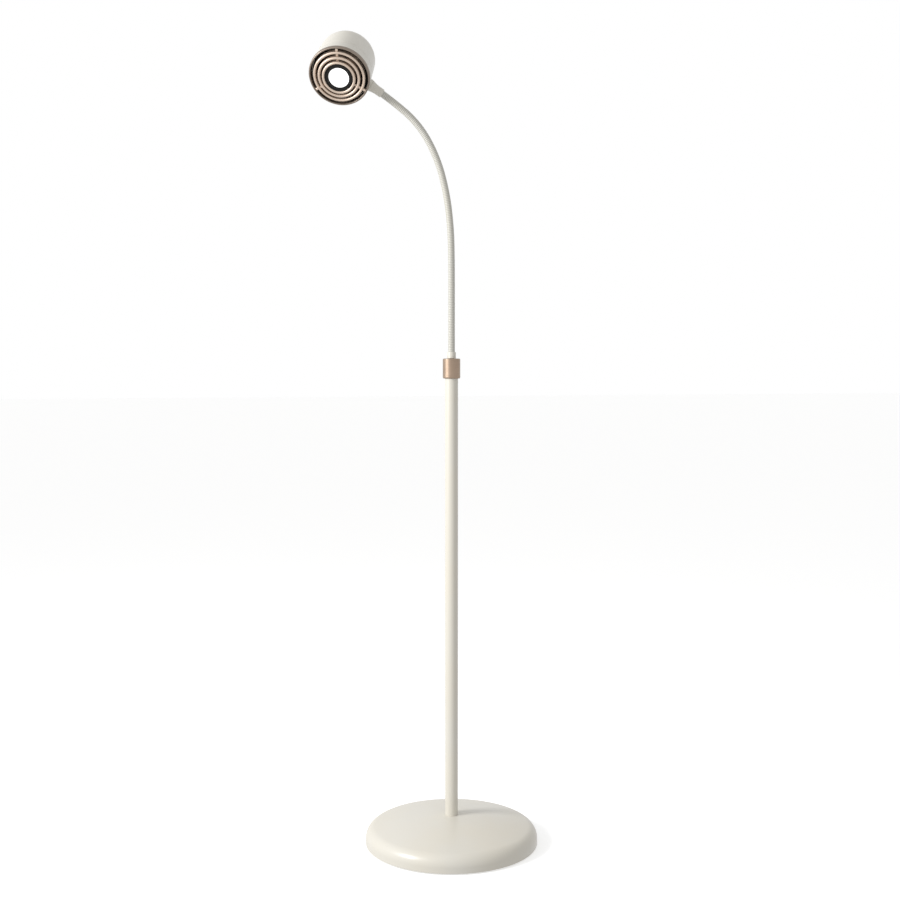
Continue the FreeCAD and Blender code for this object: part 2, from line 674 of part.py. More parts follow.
def build_grommet():
    """The rubber grommet in the cover's back, which the mains cord goes through."""
    flange_top = "(entry_height + grommet_flange - skirt_top)"
    wall_inside = (
        "(base_radius - shoulder_radius"
        f" + sqrt((shoulder_radius - cover_wall)^2 - {flange_top}^2) - 3 * seat_gap)"
    )
    outside = "(base_radius + grommet_outside)"
    towards_back = FreeCAD.Rotation(X, -90)
    body = new_body("cord_grommet", place(z="entry_height", rotation=towards_back))
    revolve(
        body,
        ("grommet_bore", f"{wall_inside} - grommet_inside"),
        ("grommet_flange - grommet_round", f"{wall_inside} - grommet_inside"),
        ("grommet_flange", f"{wall_inside} - grommet_inside + grommet_round"),
        ("grommet_flange", f"{wall_inside} - seat_gap"),
        ("entry_hole - seat_gap", f"{wall_inside} - seat_gap"),
        ("entry_hole - seat_gap", "base_radius + seat_gap"),
        ("grommet_flange", "base_radius + seat_gap"),
        ("grommet_flange", f"{outside} - grommet_round", TURNS_LEFT, "grommet_round"),
        ("grommet_flange - grommet_round", outside),
        ("grommet_bore", outside),
    )


def build_transformer():
    """The transformer with its two ears, its screws and the terminal block beside it."""
    foot = FreeCAD.Vector(0, number("transformer_offset"), number(f"{PLATE_TOP} + seat_gap"))
    body = new_body("transformer", FreeCAD.Placement(foot, NO_TURN))
    half_depth = "transformer_depth / 2"
    block = draw_path(
        sketch_on(body, "XY_Plane"),
        [
            ("-transformer_width / 2", f"-{half_depth}"),
            ("transformer_width / 2", f"-{half_depth}"),
            ("transformer_width / 2", half_depth),
            ("-transformer_width / 2", half_depth),
        ],
        closed=True,
    )
    pad(body, block, "transformer_height")
    reach = "(transformer_width / 2 + ear_length)"
    ears = draw_path(
        sketch_on(body, "XY_Plane"),
        [
            (f"-{reach}", "-ear_length"),
            (reach, "-ear_length"),
            (reach, "ear_length"),
            (f"-{reach}", "ear_length"),
        ],
        closed=True,
    )
    pad(body, ears, "ear_thickness")
    holes = sketch_on(body, "XY_Plane", "ear_thickness")
    for sign in ("", "-"):
        draw_circle(holes, "screw_radius + hole_gap", f"{sign}{EAR_SCREW}", "0")
    pocket(body, holes, "ear_thickness")

    upside_down = FreeCAD.Rotation(X, 180)
    ear_top = f"{PLATE_TOP} + seat_gap + ear_thickness + seat_gap"
    screws = [
        screw(
            f"transformer_screw_{index}",
            place(f"{sign}{EAR_SCREW}", "transformer_offset", ear_top, upside_down),
            "screw_radius",
            "ear_thickness + plate_thickness + seat_gap",
            "screw_head_radius",
            "screw_head_height",
        )
        for index, sign in enumerate(("", "-"))
    ]
    group("transformer_screws", screws)

    terminals = new_body("terminal_block", place(z=f"{PLATE_TOP} + seat_gap"))
    outline = draw_path(
        sketch_on(terminals, "XY_Plane"),
        [
            ("-block_width / 2", BLOCK_NEAR),
            ("block_width / 2", BLOCK_NEAR),
            ("block_width / 2", f"{BLOCK_NEAR} + block_depth"),
            ("-block_width / 2", f"{BLOCK_NEAR} + block_depth"),
        ],
        closed=True,
    )
    pad(terminals, outline, "block_height")
    wells = sketch_on(terminals, "XY_Plane", "block_height")
    for sign in ("", "-"):
        draw_circle(wells, "terminal_well", f"{sign}terminal_offset", f"{BLOCK_NEAR} + block_depth / 2")
    pocket(terminals, wells, "block_height / 2")


# ---------------------------------------------------------------- the pole and the collar


def build_pole():
    """The pole, the threaded insert in its foot, and the hollow stud, nut and washer that draw it down
    into the weight."""
    body = new_body("pole")
    tube = sketch_on(body, "XY_Plane", POLE_BOTTOM)
    draw_circle(tube, "pole_radius")
    draw_circle(tube, "pole_radius - pole_wall")
    pad(body, tube, f"{POLE_TOP} - {POLE_BOTTOM}")

    inside = "pole_radius - pole_wall - seat_gap"
    disc("pole_insert", inside, "stud_radius + seat_gap", POLE_BOTTOM, "insert_length")
    stud_bottom = f"({NUT_SEAT} - stud_tail)"
    stud_top = f"({POLE_BOTTOM} + insert_length)"
    disc("pole_stud", "stud_radius", "stud_bore", stud_bottom, f"{stud_top} - {stud_bottom}")
    washer_bottom = f"({NUT_SEAT} - seat_gap - washer_thickness)"
    disc(
        "stud_washer",
        "stud_washer",
        "stud_radius + seat_gap",
        washer_bottom,
        "washer_thickness",
    )
    nut_bottom = f"({washer_bottom} - seat_gap - stud_nut_height)"
    hex_nut(
        "stud_nut", None, "stud_nut_flats", "stud_radius + seat_gap", nut_bottom, "stud_nut_height"
    )


def build_lead():
    """The two-core lead from the transformer, under the weight and up the pole to the swivel."""
    body = new_body("pole_lead")
    top = NECK_START
    profile = draw_circle(sketch_on(body, "XY_Plane", top), "lead_radius")
    path = draw_path(
        sketch_on(body, "YZ_Plane"),
        [
            ("0", top),
            ("0", "lead_level + lead_bend", TURNS_LEFT, "lead_bend"),
            ("lead_bend", "lead_level"),
            ("transformer_offset - transformer_depth / 2 - hole_gap", "lead_level"),
        ],
        closed=False,
    )
    feature = body.newObject("PartDesign::AdditivePipe", "pole_lead_pipe")
    feature.Profile = profile
    feature.Spine = (path, ["Edge1", "Edge2", "Edge3"])


def build_collar():
    """The bronze collar with its bush, and the set screw that grips the pole from behind."""
    body = new_body("collar")
    edge = "edge_round"
    lip = "(stem_radius + lip_room)"
    grip = "(pole_radius + seat_gap)"
    bush = "(bush_radius + seat_gap)"
    revolve(
        body,
        (grip, "collar_base"),
        (f"collar_radius - {edge}", "collar_base", TURNS_LEFT, edge),
        ("collar_radius", f"collar_base + {edge}"),
        ("collar_radius", f"{COLLAR_TOP} - {edge}", TURNS_LEFT, edge),
        (f"collar_radius - {edge}", COLLAR_TOP),
        (lip, COLLAR_TOP),
        (lip, f"{COLLAR_TOP} - collar_lip"),
        (bush, f"{COLLAR_TOP} - collar_lip"),
        (bush, POLE_TOP),
        (grip, POLE_TOP),
    )
    hole = sketch_on(body, "XZ_Plane", "-collar_radius - cut_margin")
    middle = "(collar_base + collar_grip / 2)"
    draw_circle(hole, "set_screw_radius + seat_gap", "0", middle)
    pocket(body, hole, "collar_radius + cut_margin - pole_radius", upwards=True)

    towards_pole = FreeCAD.Rotation(X, 90)
    shank = primitive(
        "Cylinder",
        "set_screw_shank",
        Radius="set_screw_radius",
        Height="collar_radius - pole_radius - 2 * seat_gap",
    )
    socket = primitive(
        "Prism",
        "set_screw_socket",
        place(z="-cut_margin"),
        Circumradius="set_screw_radius / 2",
        Height="(collar_radius - pole_radius) / 2 + cut_margin",
    )
    finish(
        cut("collar_set_screw", shank, socket),
        "collar_set_screw",
        place(y="collar_radius - seat_gap", z=middle, rotation=towards_pole),
    )
    disc("collar_bush", "bush_radius", "stem_radius + run_gap", BUSH_BOTTOM, "bush_length")


def build_stem():
    """The swivelling stem with the neck's socket on top, and the washer and clip that retain it."""
    body = new_body("neck_socket")
    groove = "(stem_radius - clip_groove)"
    bore = "swivel_bore"
    edge = "edge_round"
    top = f"({SOCKET_BOTTOM} + socket_height)"
    seat = "(neck_radius + seat_gap)"
    revolve(
        body,
        (bore, STEM_BOTTOM),
        ("stem_radius", STEM_BOTTOM),
        ("stem_radius", f"{CLIP_BOTTOM} - seat_gap"),
        (groove, f"{CLIP_BOTTOM} - seat_gap"),
        (groove, f"{CLIP_BOTTOM} + clip_thickness + seat_gap"),
        ("stem_radius", f"{CLIP_BOTTOM} + clip_thickness + seat_gap"),
        ("stem_radius", SOCKET_BOTTOM),
        ("socket_radius", SOCKET_BOTTOM),
        ("socket_radius", f"{top} - {edge}", TURNS_LEFT, edge),
        (f"socket_radius - {edge}", top),
        (seat, top),
        (seat, f"{SOCKET_BOTTOM} + socket_floor"),
        (bore, f"{SOCKET_BOTTOM} + socket_floor"),
    )
    disc("swivel_washer", "clip_radius", "stem_radius + seat_gap", SWIVEL_WASHER, "washer_thickness")
    ring = cut(
        "clip_ring",
        primitive(
            "Cylinder", "clip_outside", place(z=CLIP_BOTTOM), Radius="clip_radius", Height="clip_thickness"
        ),
        primitive(
            "Cylinder",
            "clip_inside",
            place(z=f"{CLIP_BOTTOM} - cut_margin"),
            Radius=f"{groove} + seat_gap",
            Height="clip_thickness + 2 * cut_margin",
        ),
    )
    mouth = primitive(
        "Box",
        "clip_mouth",
        place(y="-clip_gap / 2", z=f"{CLIP_BOTTOM} - cut_margin"),
        Length="clip_radius + cut_margin",
        Width="clip_gap",
        Height="clip_thickness + 2 * cut_margin",
    )
    finish(cut("swivel_clip", ring, mouth), "swivel_clip")


# ---------------------------------------------------------------- the gooseneck


def neck_point(start, angle, bend, length):
    """The end of a length of neck that starts at a point, leaning by an angle towards -X, and bends
    evenly by another angle. Both are in radians."""
    if abs(bend) < 1e-9:
        return start + FreeCAD.Vector(-math.sin(angle), 0, math.cos(angle)) * length
    radius = length / bend
    across = radius * (math.cos(angle + bend) - math.cos(angle))
    up = radius * (math.sin(angle + bend) - math.sin(angle))
    return start + FreeCAD.Vector(across, 0, up)


def neck_frames():
    """The placement of each section's start, and of the neck's end: the local Z axis runs along the
    neck, and the neck bends towards the local -X."""
    point = FreeCAD.Vector(0, 0, number(NECK_START))
    angle = 0.0
    frames = []
    for index in range(1, SECTION_COUNT + 1):
        frames.append(FreeCAD.Placement(point, FreeCAD.Rotation(Y, -math.degrees(angle))))
        bend = math.radians(number(f"bend_{index}"))
        point = neck_point(point, angle, bend, number("section_length"))
        angle += bend
    frames.append(FreeCAD.Placement(point, FreeCAD.Rotation(Y, -math.degrees(angle))))
    return frames


def section_rod(name, index, radius, trim="0"):
    """A solid rod along section number index, in the section's frame, with both ends trimmed."""
    bend = number(f"bend_{index}")
    if abs(bend) < 1e-9:
        return primitive(
            "Cylinder", name, place(z=trim), Radius=radius, Height=f"section_length - 2 * {trim}"
        )
    curve = f"(section_length * 180 / (pi * bend_{index}))"
    skipped = f"({trim} * 180 / (pi * {curve}))"
    upright = FreeCAD.Rotation(X, 90)
    lean = FreeCAD.Rotation(Y, -number(skipped))
    return primitive(
        "Torus",
        name,
        place(x=f"-{curve}", rotation=lean.multiply(upright)),
        Radius1=curve,
        Radius2=radius,
        Angle3=f"bend_{index} - 2 * {skipped}",
    )


def build_section(index, frame, end):
    """One section of the gooseneck and its length of lead. A section ends in a rounded knuckle, and
    the next one starts in a hollow that clears the knuckle all round."""
    name = f"neck_section_{index}"
    local_end = frame.inverse().multiply(end)
    tube = section_rod(f"{name}_rod", index, "neck_radius")
    tools = [section_rod(f"{name}_bore", index, "neck_bore")]
    if index < SECTION_COUNT:
        knuckle = primitive("Sphere", f"{name}_knuckle", local_end, Radius="neck_radius - knuckle_trim")
        tube = fuse(f"{name}_blank", tube, knuckle)
        back_step = FreeCAD.Placement(FreeCAD.Vector(0, 0, -number("knuckle_mouth")), NO_TURN)
        tools.append(
            primitive(
                "Cylinder",
                f"{name}_mouth",
                local_end.multiply(back_step),
                Radius="neck_radius - knuckle_trim - knuckle_mouth",
                Height="neck_radius + 2 * knuckle_mouth",
            )
        )
    if index > 1:
        hollow = "neck_radius - knuckle_trim + swing_gap"
        tools.append(primitive("Sphere", f"{name}_hollow", Radius=hollow))
    finish(cut(name, tube, *tools), name, frame)
    lead = section_rod(f"neck_lead_{index}", index, "lead_radius", "lead_gap")
    finish(lead, lead.Name, frame.multiply(lead.Placement))


def build_neck(frames):
    """All the gooseneck's sections."""
    for index in range(1, SECTION_COUNT + 1):
        build_section(index, frames[index - 1], frames[index])


# ---------------------------------------------------------------- the joint between neck and head


def swivel_frame(neck_end):
    """The frame of the swivel: its origin is on the head's axis, and its Z axis points back along the
    neck's end."""
    forward = neck_end.Rotation.multVec(Z)
    centre = neck_end.Base + forward * number(f"{NECK_SEAT} + seat_gap")
    sideways = neck_end.Rotation.multVec(X)
    rotation = FreeCAD.Rotation(sideways, -Y, -forward, "ZXY")
    return FreeCAD.Placement(centre, rotation)


def head_frame(neck_end):
    """The frame of the head: Z runs along the drum from its back to its front, X points to the neck,
    and the origin is the middle of the back."""
    swivel = swivel_frame(neck_end)
    to_neck = swivel.Rotation.multVec(Z)
    down = neck_end.Rotation.multVec(X)
    roll = FreeCAD.Rotation(to_neck, -number("head_roll"))
    front = roll.multVec(-down if down.z > 0 else down)
    rotation = FreeCAD.Rotation(to_neck, front.cross(to_neck), front, "ZXY")
    back = swivel.Base - front * number("swivel_height")
    return FreeCAD.Placement(back, rotation)


def build_swivel(frame):
    """The bell-shaped cone on the neck's end, the hollow stud that carries the head, and the washer
    and nut that draw the head against the cone."""
    body = new_body("neck_cone", frame)
    seat = "(swivel_radius + seat_gap)"
    neck = "(neck_radius + cone_room)"
    top = f"({CONE_BOTTOM} + cone_length)"
    revolve(
        body,
        (seat, CONE_BOTTOM),
        ("cone_mouth", CONE_BOTTOM),
        ("cone_mouth", f"{CONE_BOTTOM} + cone_rim", TURNS_RIGHT, "cone_flare"),
        ("cone_neck", f"{top} - cone_collar"),
        ("cone_neck", top),
        (neck, top),
        (neck, NECK_SEAT),
        (seat, NECK_SEAT),
    )
    inner_face = f"({SWIVEL_FACE} - swivel_depth)"
    washer = f"({inner_face} - run_gap - washer_thickness)"
    nut = f"({washer} - seat_gap - head_nut_height)"
    tail = f"({nut} - seat_gap)"
    disc("head_stud", "swivel_radius", "swivel_bore", tail, f"{NECK_SEAT} - seat_gap - {tail}", frame)
    disc("head_washer", "head_nut_flats", "swivel_radius + seat_gap", washer, "washer_thickness", frame)
    hex_nut("head_nut", frame, "head_nut_flats", "swivel_radius + seat_gap", nut, "head_nut_height")


# ---------------------------------------------------------------- the head


def build_rear_shell(frame):
    """The drum's rounded back with the swivel boss, the vents and the spigot for the front shell."""
    body = new_body("head_rear_shell", frame)
    lean_out = "back_round * cos(head_taper)"
    lean_back = "back_round * sin(head_taper)"
    inner_round = "(back_round - head_wall)"
    spigot = f"({side('seam_height')} - head_wall - seat_gap)"
    revolve(
        body,
        ("switch_neck + hole_gap", "0"),
        (BACK_CENTRE, "0", TURNS_LEFT, "back_round"),
        (f"{BACK_CENTRE} + {lean_out}", f"back_round - {lean_back}"),
        (side("seam_height"), "seam_height"),
        (spigot, "seam_height"),
        (spigot, "seam_height + spigot_length"),
        (f"{spigot} - head_wall", "seam_height + spigot_length"),
        (f"{side('seam_height')} - 2 * head_wall - seat_gap", "seam_height - spigot_length"),
        (
            f"{BACK_CENTRE} + {inner_round} * cos(head_taper)",
            f"back_round - {inner_round} * sin(head_taper)",
            TURNS_RIGHT,
            inner_round,
        ),
        (BACK_CENTRE, "head_wall"),
        ("switch_neck + hole_gap", "head_wall"),
    )
    boss = sketch_on(body, "YZ_Plane", f"{SWIVEL_FACE} - swivel_depth")
    draw_circle(boss, "boss_width", "0", "swivel_height")
    pad(body, boss, "swivel_depth")
    hole = sketch_on(body, "YZ_Plane", SWIVEL_FACE)
    draw_circle(hole, "swivel_radius + run_gap", "0", "swivel_height")
    pocket(body, hole, "swivel_depth + head_wall")
    vent = draw_path(
        sketch_on(body, "XY_Plane", "-cut_margin"),
        [
            ("vent_inner", "-vent_width / 2"),
            ("vent_outer", "-vent_width / 2"),
            ("vent_outer", "vent_width / 2"),
            ("vent_inner", "vent_width / 2"),
        ],
        closed=True,
    )
    ring_of(body, pocket(body, vent, "vent_depth", upwards=True), VENT_COUNT)


def build_front_shell(frame):
    """The drum's front shell, with the ledge that clamps the lamp carrier."""
    body = new_body("head_front_shell", frame)
    bottom = "(seam_height + seam_gap)"
    inner_top = f"({side(BEZEL_BOTTOM)} - head_wall)"
    ledge_top = f"({LEDGE_BOTTOM} + ledge_height)"
    revolve(
        body,
        (f"{side(bottom)} - head_wall", bottom),
        (side(bottom), bottom),
        (side(BEZEL_BOTTOM), BEZEL_BOTTOM),
        (inner_top, BEZEL_BOTTOM),
        (f"{side(ledge_top)} - head_wall", ledge_top),
        (f"{side(ledge_top)} - head_wall - ledge_width", ledge_top),
        (f"{side(ledge_top)} - head_wall - ledge_width", LEDGE_BOTTOM),
        (f"{side(LEDGE_BOTTOM)} - head_wall", LEDGE_BOTTOM),
    )


def build_carrier(frame):
    """The black carrier behind the grille: a disc with a tube that holds the lamp by its rim, and the
    ring that keeps the lamp in."""
    body = new_body("lamp_carrier", frame)
    outside = "(snoot_radius + snoot_wall)"
    revolve(
        body,
        ("snoot_radius", CARRIER_BOTTOM),
        (f"{side('seam_height')} - head_wall - seat_gap", CARRIER_BOTTOM),
        (f"{side('seam_height')} - head_wall - seat_gap", CARRIER_TOP),
        (outside, CARRIER_TOP),
        (outside, "snoot_top"),
        ("snoot_radius", "snoot_top"),
        ("snoot_radius", "lamp_seat"),
        ("lip_radius", "lamp_seat"),
        ("lip_radius", "lamp_seat - lip_thickness"),
        ("snoot_radius", "lamp_seat - lip_thickness"),
    )
    holes = sketch_on(body, "XY_Plane", CARRIER_TOP)
    for sign in ("", "-"):
        draw_circle(holes, "screw_radius + seat_gap", "0", f"{sign}{FOOT_SCREW}")
    pocket(body, holes, "carrier_thickness")
    ring_top = "(lamp_seat + seat_gap + lamp_rim_height + seat_gap)"
    disc("lamp_retainer", "snoot_radius - seat_gap", "retainer_inner", ring_top, "retainer_thickness", frame)


def build_lamp(frame):
    """The reflector lamp: bowl, frosted front glass, capsule and pins."""
    rim_bottom = "(lamp_seat + seat_gap)"
    rim_top = f"({rim_bottom} + lamp_rim_height)"
    glass_seat = f"({rim_top} - lamp_glass_thickness - seat_gap)"
    bowl = new_body("lamp_reflector", frame)
    revolve(
        bowl,
        ("lamp_bore", "lamp_base"),
        ("lamp_neck", "lamp_base"),
        ("lamp_neck", "lamp_neck_top", TURNS_LEFT, "lamp_curve"),
        ("lamp_shoulder", rim_bottom),
        ("lamp_rim", rim_bottom),
        ("lamp_rim", rim_top),
        ("lamp_glass_radius + seat_gap", rim_top),
        ("lamp_glass_radius + seat_gap", glass_seat),
        ("lamp_shoulder - lamp_wall", glass_seat, TURNS_RIGHT, "lamp_curve"),
        ("lamp_neck - lamp_wall", "lamp_neck_top + lamp_wall"),
        ("lamp_bore", "lamp_neck_top + lamp_wall"),
    )
    glass = new_body("lamp_glass", frame)
    face = draw_circle(sketch_on(glass, "XY_Plane", f"{glass_seat} + seat_gap"), "lamp_glass_radius")
    pad(glass, face, "lamp_glass_thickness")
    capsule = new_body("lamp_capsule", frame)
    tip = "(capsule_base + capsule_length)"
    revolve(
        capsule,
        ("0", "capsule_base"),
        ("capsule_radius", "capsule_base"),
        ("capsule_radius", tip, TURNS_LEFT, "capsule_radius"),
        ("0", f"{tip} + capsule_radius"),
    )
    pins = [
        primitive(
            "Cylinder",
            f"lamp_pin_{index}",
            frame.multiply(place(x=f"{sign}pin_spacing / 2", z="capsule_base - seat_gap - pin_length")),
            Radius="pin_radius",
            Height="pin_length",
        )
        for index, sign in enumerate(("", "-"))
    ]
    group("lamp_pins", pins)


def build_holder(frame):
    """The ceramic lampholder, its bracket and the bracket's screws."""
    holder = new_body("lampholder", frame)
    blank = draw_circle(sketch_on(holder, "XY_Plane", HOLDER_BOTTOM), "holder_radius")
    pad(holder, blank, "holder_height")
    sockets = sketch_on(holder, "XY_Plane", HOLDER_TOP)
    for sign in ("", "-"):
        draw_circle(sockets, "holder_socket", f"{sign}pin_spacing / 2", "0")
    pocket(holder, sockets, "socket_depth")

    bracket = new_body("lampholder_bracket", frame)
    inside = "(bracket_reach - bracket_sheet)"
    foot = "(bracket_reach + bracket_foot)"
    under = f"({BRACKET_TOP} - bracket_sheet)"
    half = [
        ("bracket_reach", under),
        ("bracket_reach", FEET_BOTTOM),
        (foot, FEET_BOTTOM),
        (foot, FEET_TOP),
        (inside, FEET_TOP),
        (inside, BRACKET_TOP),
    ]
    mirrored = [(f"-{across}", up) for across, up in reversed(half)]
    outline = draw_path(sketch_on(bracket, "YZ_Plane", "-bracket_width / 2"), half + mirrored, closed=True)
    pad(bracket, outline, "bracket_width")
    holes = sketch_on(bracket, "XY_Plane", FEET_TOP)
    for sign in ("", "-"):
        draw_circle(holes, "screw_radius + hole_gap", "0", f"{sign}{FOOT_SCREW}")
    pocket(bracket, holes, "bracket_sheet")

    screws = [
        screw(
            f"bracket_screw_{index}",
            frame.multiply(place(y=f"{sign}{FOOT_SCREW}", z=f"{FEET_BOTTOM} - seat_gap")),
            "screw_radius",
            "bracket_sheet + carrier_thickness + 3 * seat_gap",
            "screw_head_radius",
            "screw_head_height",
        )
        for index, sign in enumerate(("", "-"))
    ]
    group("bracket_screws", screws)


def build_switch(frame):
    """The push switch in the middle of the back: body, ring nut and button."""
    body = new_body("switch_body", frame)
    well = "(button_radius + run_gap)"
    flange = "(head_wall + seat_gap)"
    revolve(
        body,
        ("0", "button_well"),
        (well, "button_well"),
        (well, "-switch_proud"),
        ("switch_neck", "-switch_proud"),
        ("switch_neck", flange),
        ("switch_radius", flange),
        ("switch_radius", "switch_length"),
        ("0", "switch_length"),
    )
    nut = "switch_nut_height"
    disc("switch_nut", "switch_nut_radius", "switch_neck + seat_gap", f"-{nut} - seat_gap", nut, frame)
    button = new_body("switch_button", frame)
    edge = "edge_round"
    revolve(
        button,
        ("0", "-button_proud"),
        (f"button_radius - {edge}", "-button_proud", TURNS_LEFT, edge),
        ("button_radius", f"-button_proud + {edge}"),
        ("button_radius", "button_tail"),
        ("0", "button_tail"),
    )


def wire(name, frame, sign, corners, edges):
    """One wire in the head, swept along a path beside the head's XZ plane. The path starts on an
    upright plane, square to it."""
    body = DOC.addObject("PartDesign::Body", name)
    shift = f"{sign}wire_spacing / 2"
    profile = sketch_on(body, "YZ_Plane", corners[0][0])
    draw_circle(profile, "wire_radius", shift, corners[0][1])
    path = draw_path(sketch_on(body, "XZ_Plane", f"-({shift})"), corners, closed=False)
    feature = body.newObject("PartDesign::AdditivePipe", f"{name}_pipe")
    feature.Profile = profile
    feature.Spine = (path, [f"Edge{index}" for index in range(1, edges + 1)])
    body.Placement = frame
    return body


def build_wires(frame):
    """The wires from the hollow stud down to the switch, and from the switch to the lampholder."""
    start = f"({SWIVEL_FACE} - swivel_depth)"
    landing = "(switch_length + wire_radius + seat_gap)"
    beside_bracket = "-(holder_radius + bracket_width / 2) / 2"
    supply = [
        (start, "swivel_height"),
        ("wire_offset + wire_bend", "swivel_height", TURNS_LEFT, "wire_bend"),
        ("wire_offset", "swivel_height - wire_bend"),
        ("wire_offset", f"{landing} + wire_bend", TURNS_RIGHT, "wire_bend"),
        ("wire_offset - wire_bend", landing),
        ("wire_radius", landing),
    ]
    wires = [wire(f"supply_wire_{index}", frame, sign, supply, 5) for index, sign in enumerate(("", "-"))]
    wires += [
        primitive(
            "Cylinder",
            f"lamp_wire_{index}",
            frame.multiply(
                place(beside_bracket, f"{sign}wire_spacing / 2", "switch_length + seat_gap")
            ),
            Radius="wire_radius",
            Height=f"{HOLDER_BOTTOM} - switch_length - 2 * seat_gap",
        )
        for index, sign in enumerate(("", "-"))
    ]
    group("head_wires", wires)


def ring_corners(inner, outer, rise):
    """One ring of the grille: flat behind, and rounded over its front."""
    middle = f"(({inner}) + ({outer})) / 2"
    radius = f"(({outer}) - ({inner})) / 2"
    front = f"(head_length + {rise})"
    back = f"({front} - ring_depth)"
    return [
        (inner, back),
        (outer, back),
        (outer, f"{front} - {radius}", TURNS_LEFT, radius),
        (middle, front, TURNS_LEFT, radius),
        (inner, f"{front} - {radius}"),
    ]


def spoke_corner(along, across, turn):
    """A corner of a spoke that lies at an angle from the grille's X axis."""
    return (
        f"({along}) * cos({turn}) - ({across}) * sin({turn})",
        f"({along}) * sin({turn}) + ({across}) * cos({turn})",
    )


def build_grille(frame):
    """The bronze grille: a rim and three rings, each standing a little prouder towards the middle,
    joined by three spokes, with a spigot that fits inside the drum."""
    body = new_body("grille", frame.multiply(place(rotation=FreeCAD.Rotation(Z, number("spoke_turn")))))
    outside = side(BEZEL_BOTTOM)
    revolve(body, *ring_corners("inner_ring_inner", "inner_ring_outer", "inner_ring_rise"))
    near = "(inner_ring_inner + inner_ring_outer) / 2"
    far = "(rim_inner + outer_ring_outer) / 2 + rim_inner - outer_ring_outer"
    half = "spoke_width / 2"
    spoke_back = "(head_length + inner_ring_rise - ring_depth)"
    for index in range(SPOKE_COUNT):
        turn = 360 * index / SPOKE_COUNT
        ends = ((near, f"-{half}"), (far, f"-{half}"), (far, half), (near, half))
        corners = [spoke_corner(along, across, turn) for along, across in ends]
        spoke = draw_path(sketch_on(body, "XY_Plane", spoke_back), corners, closed=True)
        pad(body, spoke, f"head_length - spoke_drop - {spoke_back}")
    revolve(body, *ring_corners("middle_ring_inner", "middle_ring_outer", "middle_ring_rise"))
    revolve(body, *ring_corners("outer_ring_inner", "outer_ring_outer", "outer_ring_rise"))
    spigot = f"({side(f'({BEZEL_BOTTOM} - grille_spigot)')} - head_wall - 2 * seat_gap)"
    revolve(
        body,
        (f"{spigot} - head_wall", f"{BEZEL_BOTTOM} - grille_spigot"),
        (spigot, f"{BEZEL_BOTTOM} - grille_spigot"),
        (spigot, f"{BEZEL_BOTTOM} + seat_gap"),
        (outside, f"{BEZEL_BOTTOM} + seat_gap"),
        (outside, "head_length - rim_round", TURNS_LEFT, "rim_round"),
        (f"{outside} - rim_round", "head_length"),
        ("rim_inner", "head_length"),
        ("rim_inner", f"{BEZEL_BOTTOM} + seat_gap"),
    )


# ---------------------------------------------------------------- checks and output


def check():
    """Raise an error that names every object that failed and every piece without a sound shape."""
    faults = [
        f"{item.Label}: {', '.join(item.State)}"
        for item in DOC.Objects
        if {"Invalid", "Error"} & set(item.State)
    ]
    faults += [
        f"{piece.Label}: no valid solid"
        for piece in PIECES
        if piece.Shape.isNull() or not piece.Shape.isValid() or not piece.Shape.Solids
    ]
    if faults:
        raise RuntimeError("; ".join(faults))


def write_pieces():
    """Write each piece to a STEP file that has its label for a name."""
    os.makedirs("parts", exist_ok=True)
    for piece in PIECES:
        piece.Shape.exportStep(os.path.join("parts", f"{piece.Label}.step"))
    print(f"{len(PIECES)} sub-parts, {sum(len(piece.Shape.Solids) for piece in PIECES)} solids")


def main():
    """Build the whole lamp from the floor up."""
    fill_sheet()
    build_cover()
    build_weight()
    build_plate()
    build_plate_screws()
    build_grommet()
    build_transformer()
    build_pole()
    build_lead()
    build_collar()
    build_stem()
    frames = neck_frames()
    build_neck(frames)
    build_swivel(swivel_frame(frames[-1]))
    head = head_frame(frames[-1])
    build_rear_shell(head)
    build_front_shell(head)
    build_carrier(head)
    build_lamp(head)
    build_holder(head)
    build_switch(head)
    build_wires(head)
    build_grille(head)
    DOC.recompute()
    check()
    write_pieces()


main()
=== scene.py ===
"""Finished surfaces of a gooseneck floor lamp, built around its packed frame.

Every mesh is a grid worked out with numpy: an outline turned about an axis, a skin carried along the
neck's line, or a bar's rounded section. Lengths are in metres, in the frame's own axes: +Z is up, the
pole stands on the Z axis, and the neck bends towards -X.
"""

import json
import math

import bmesh
import bpy
import numpy as np
from mathutils import Matrix, Vector

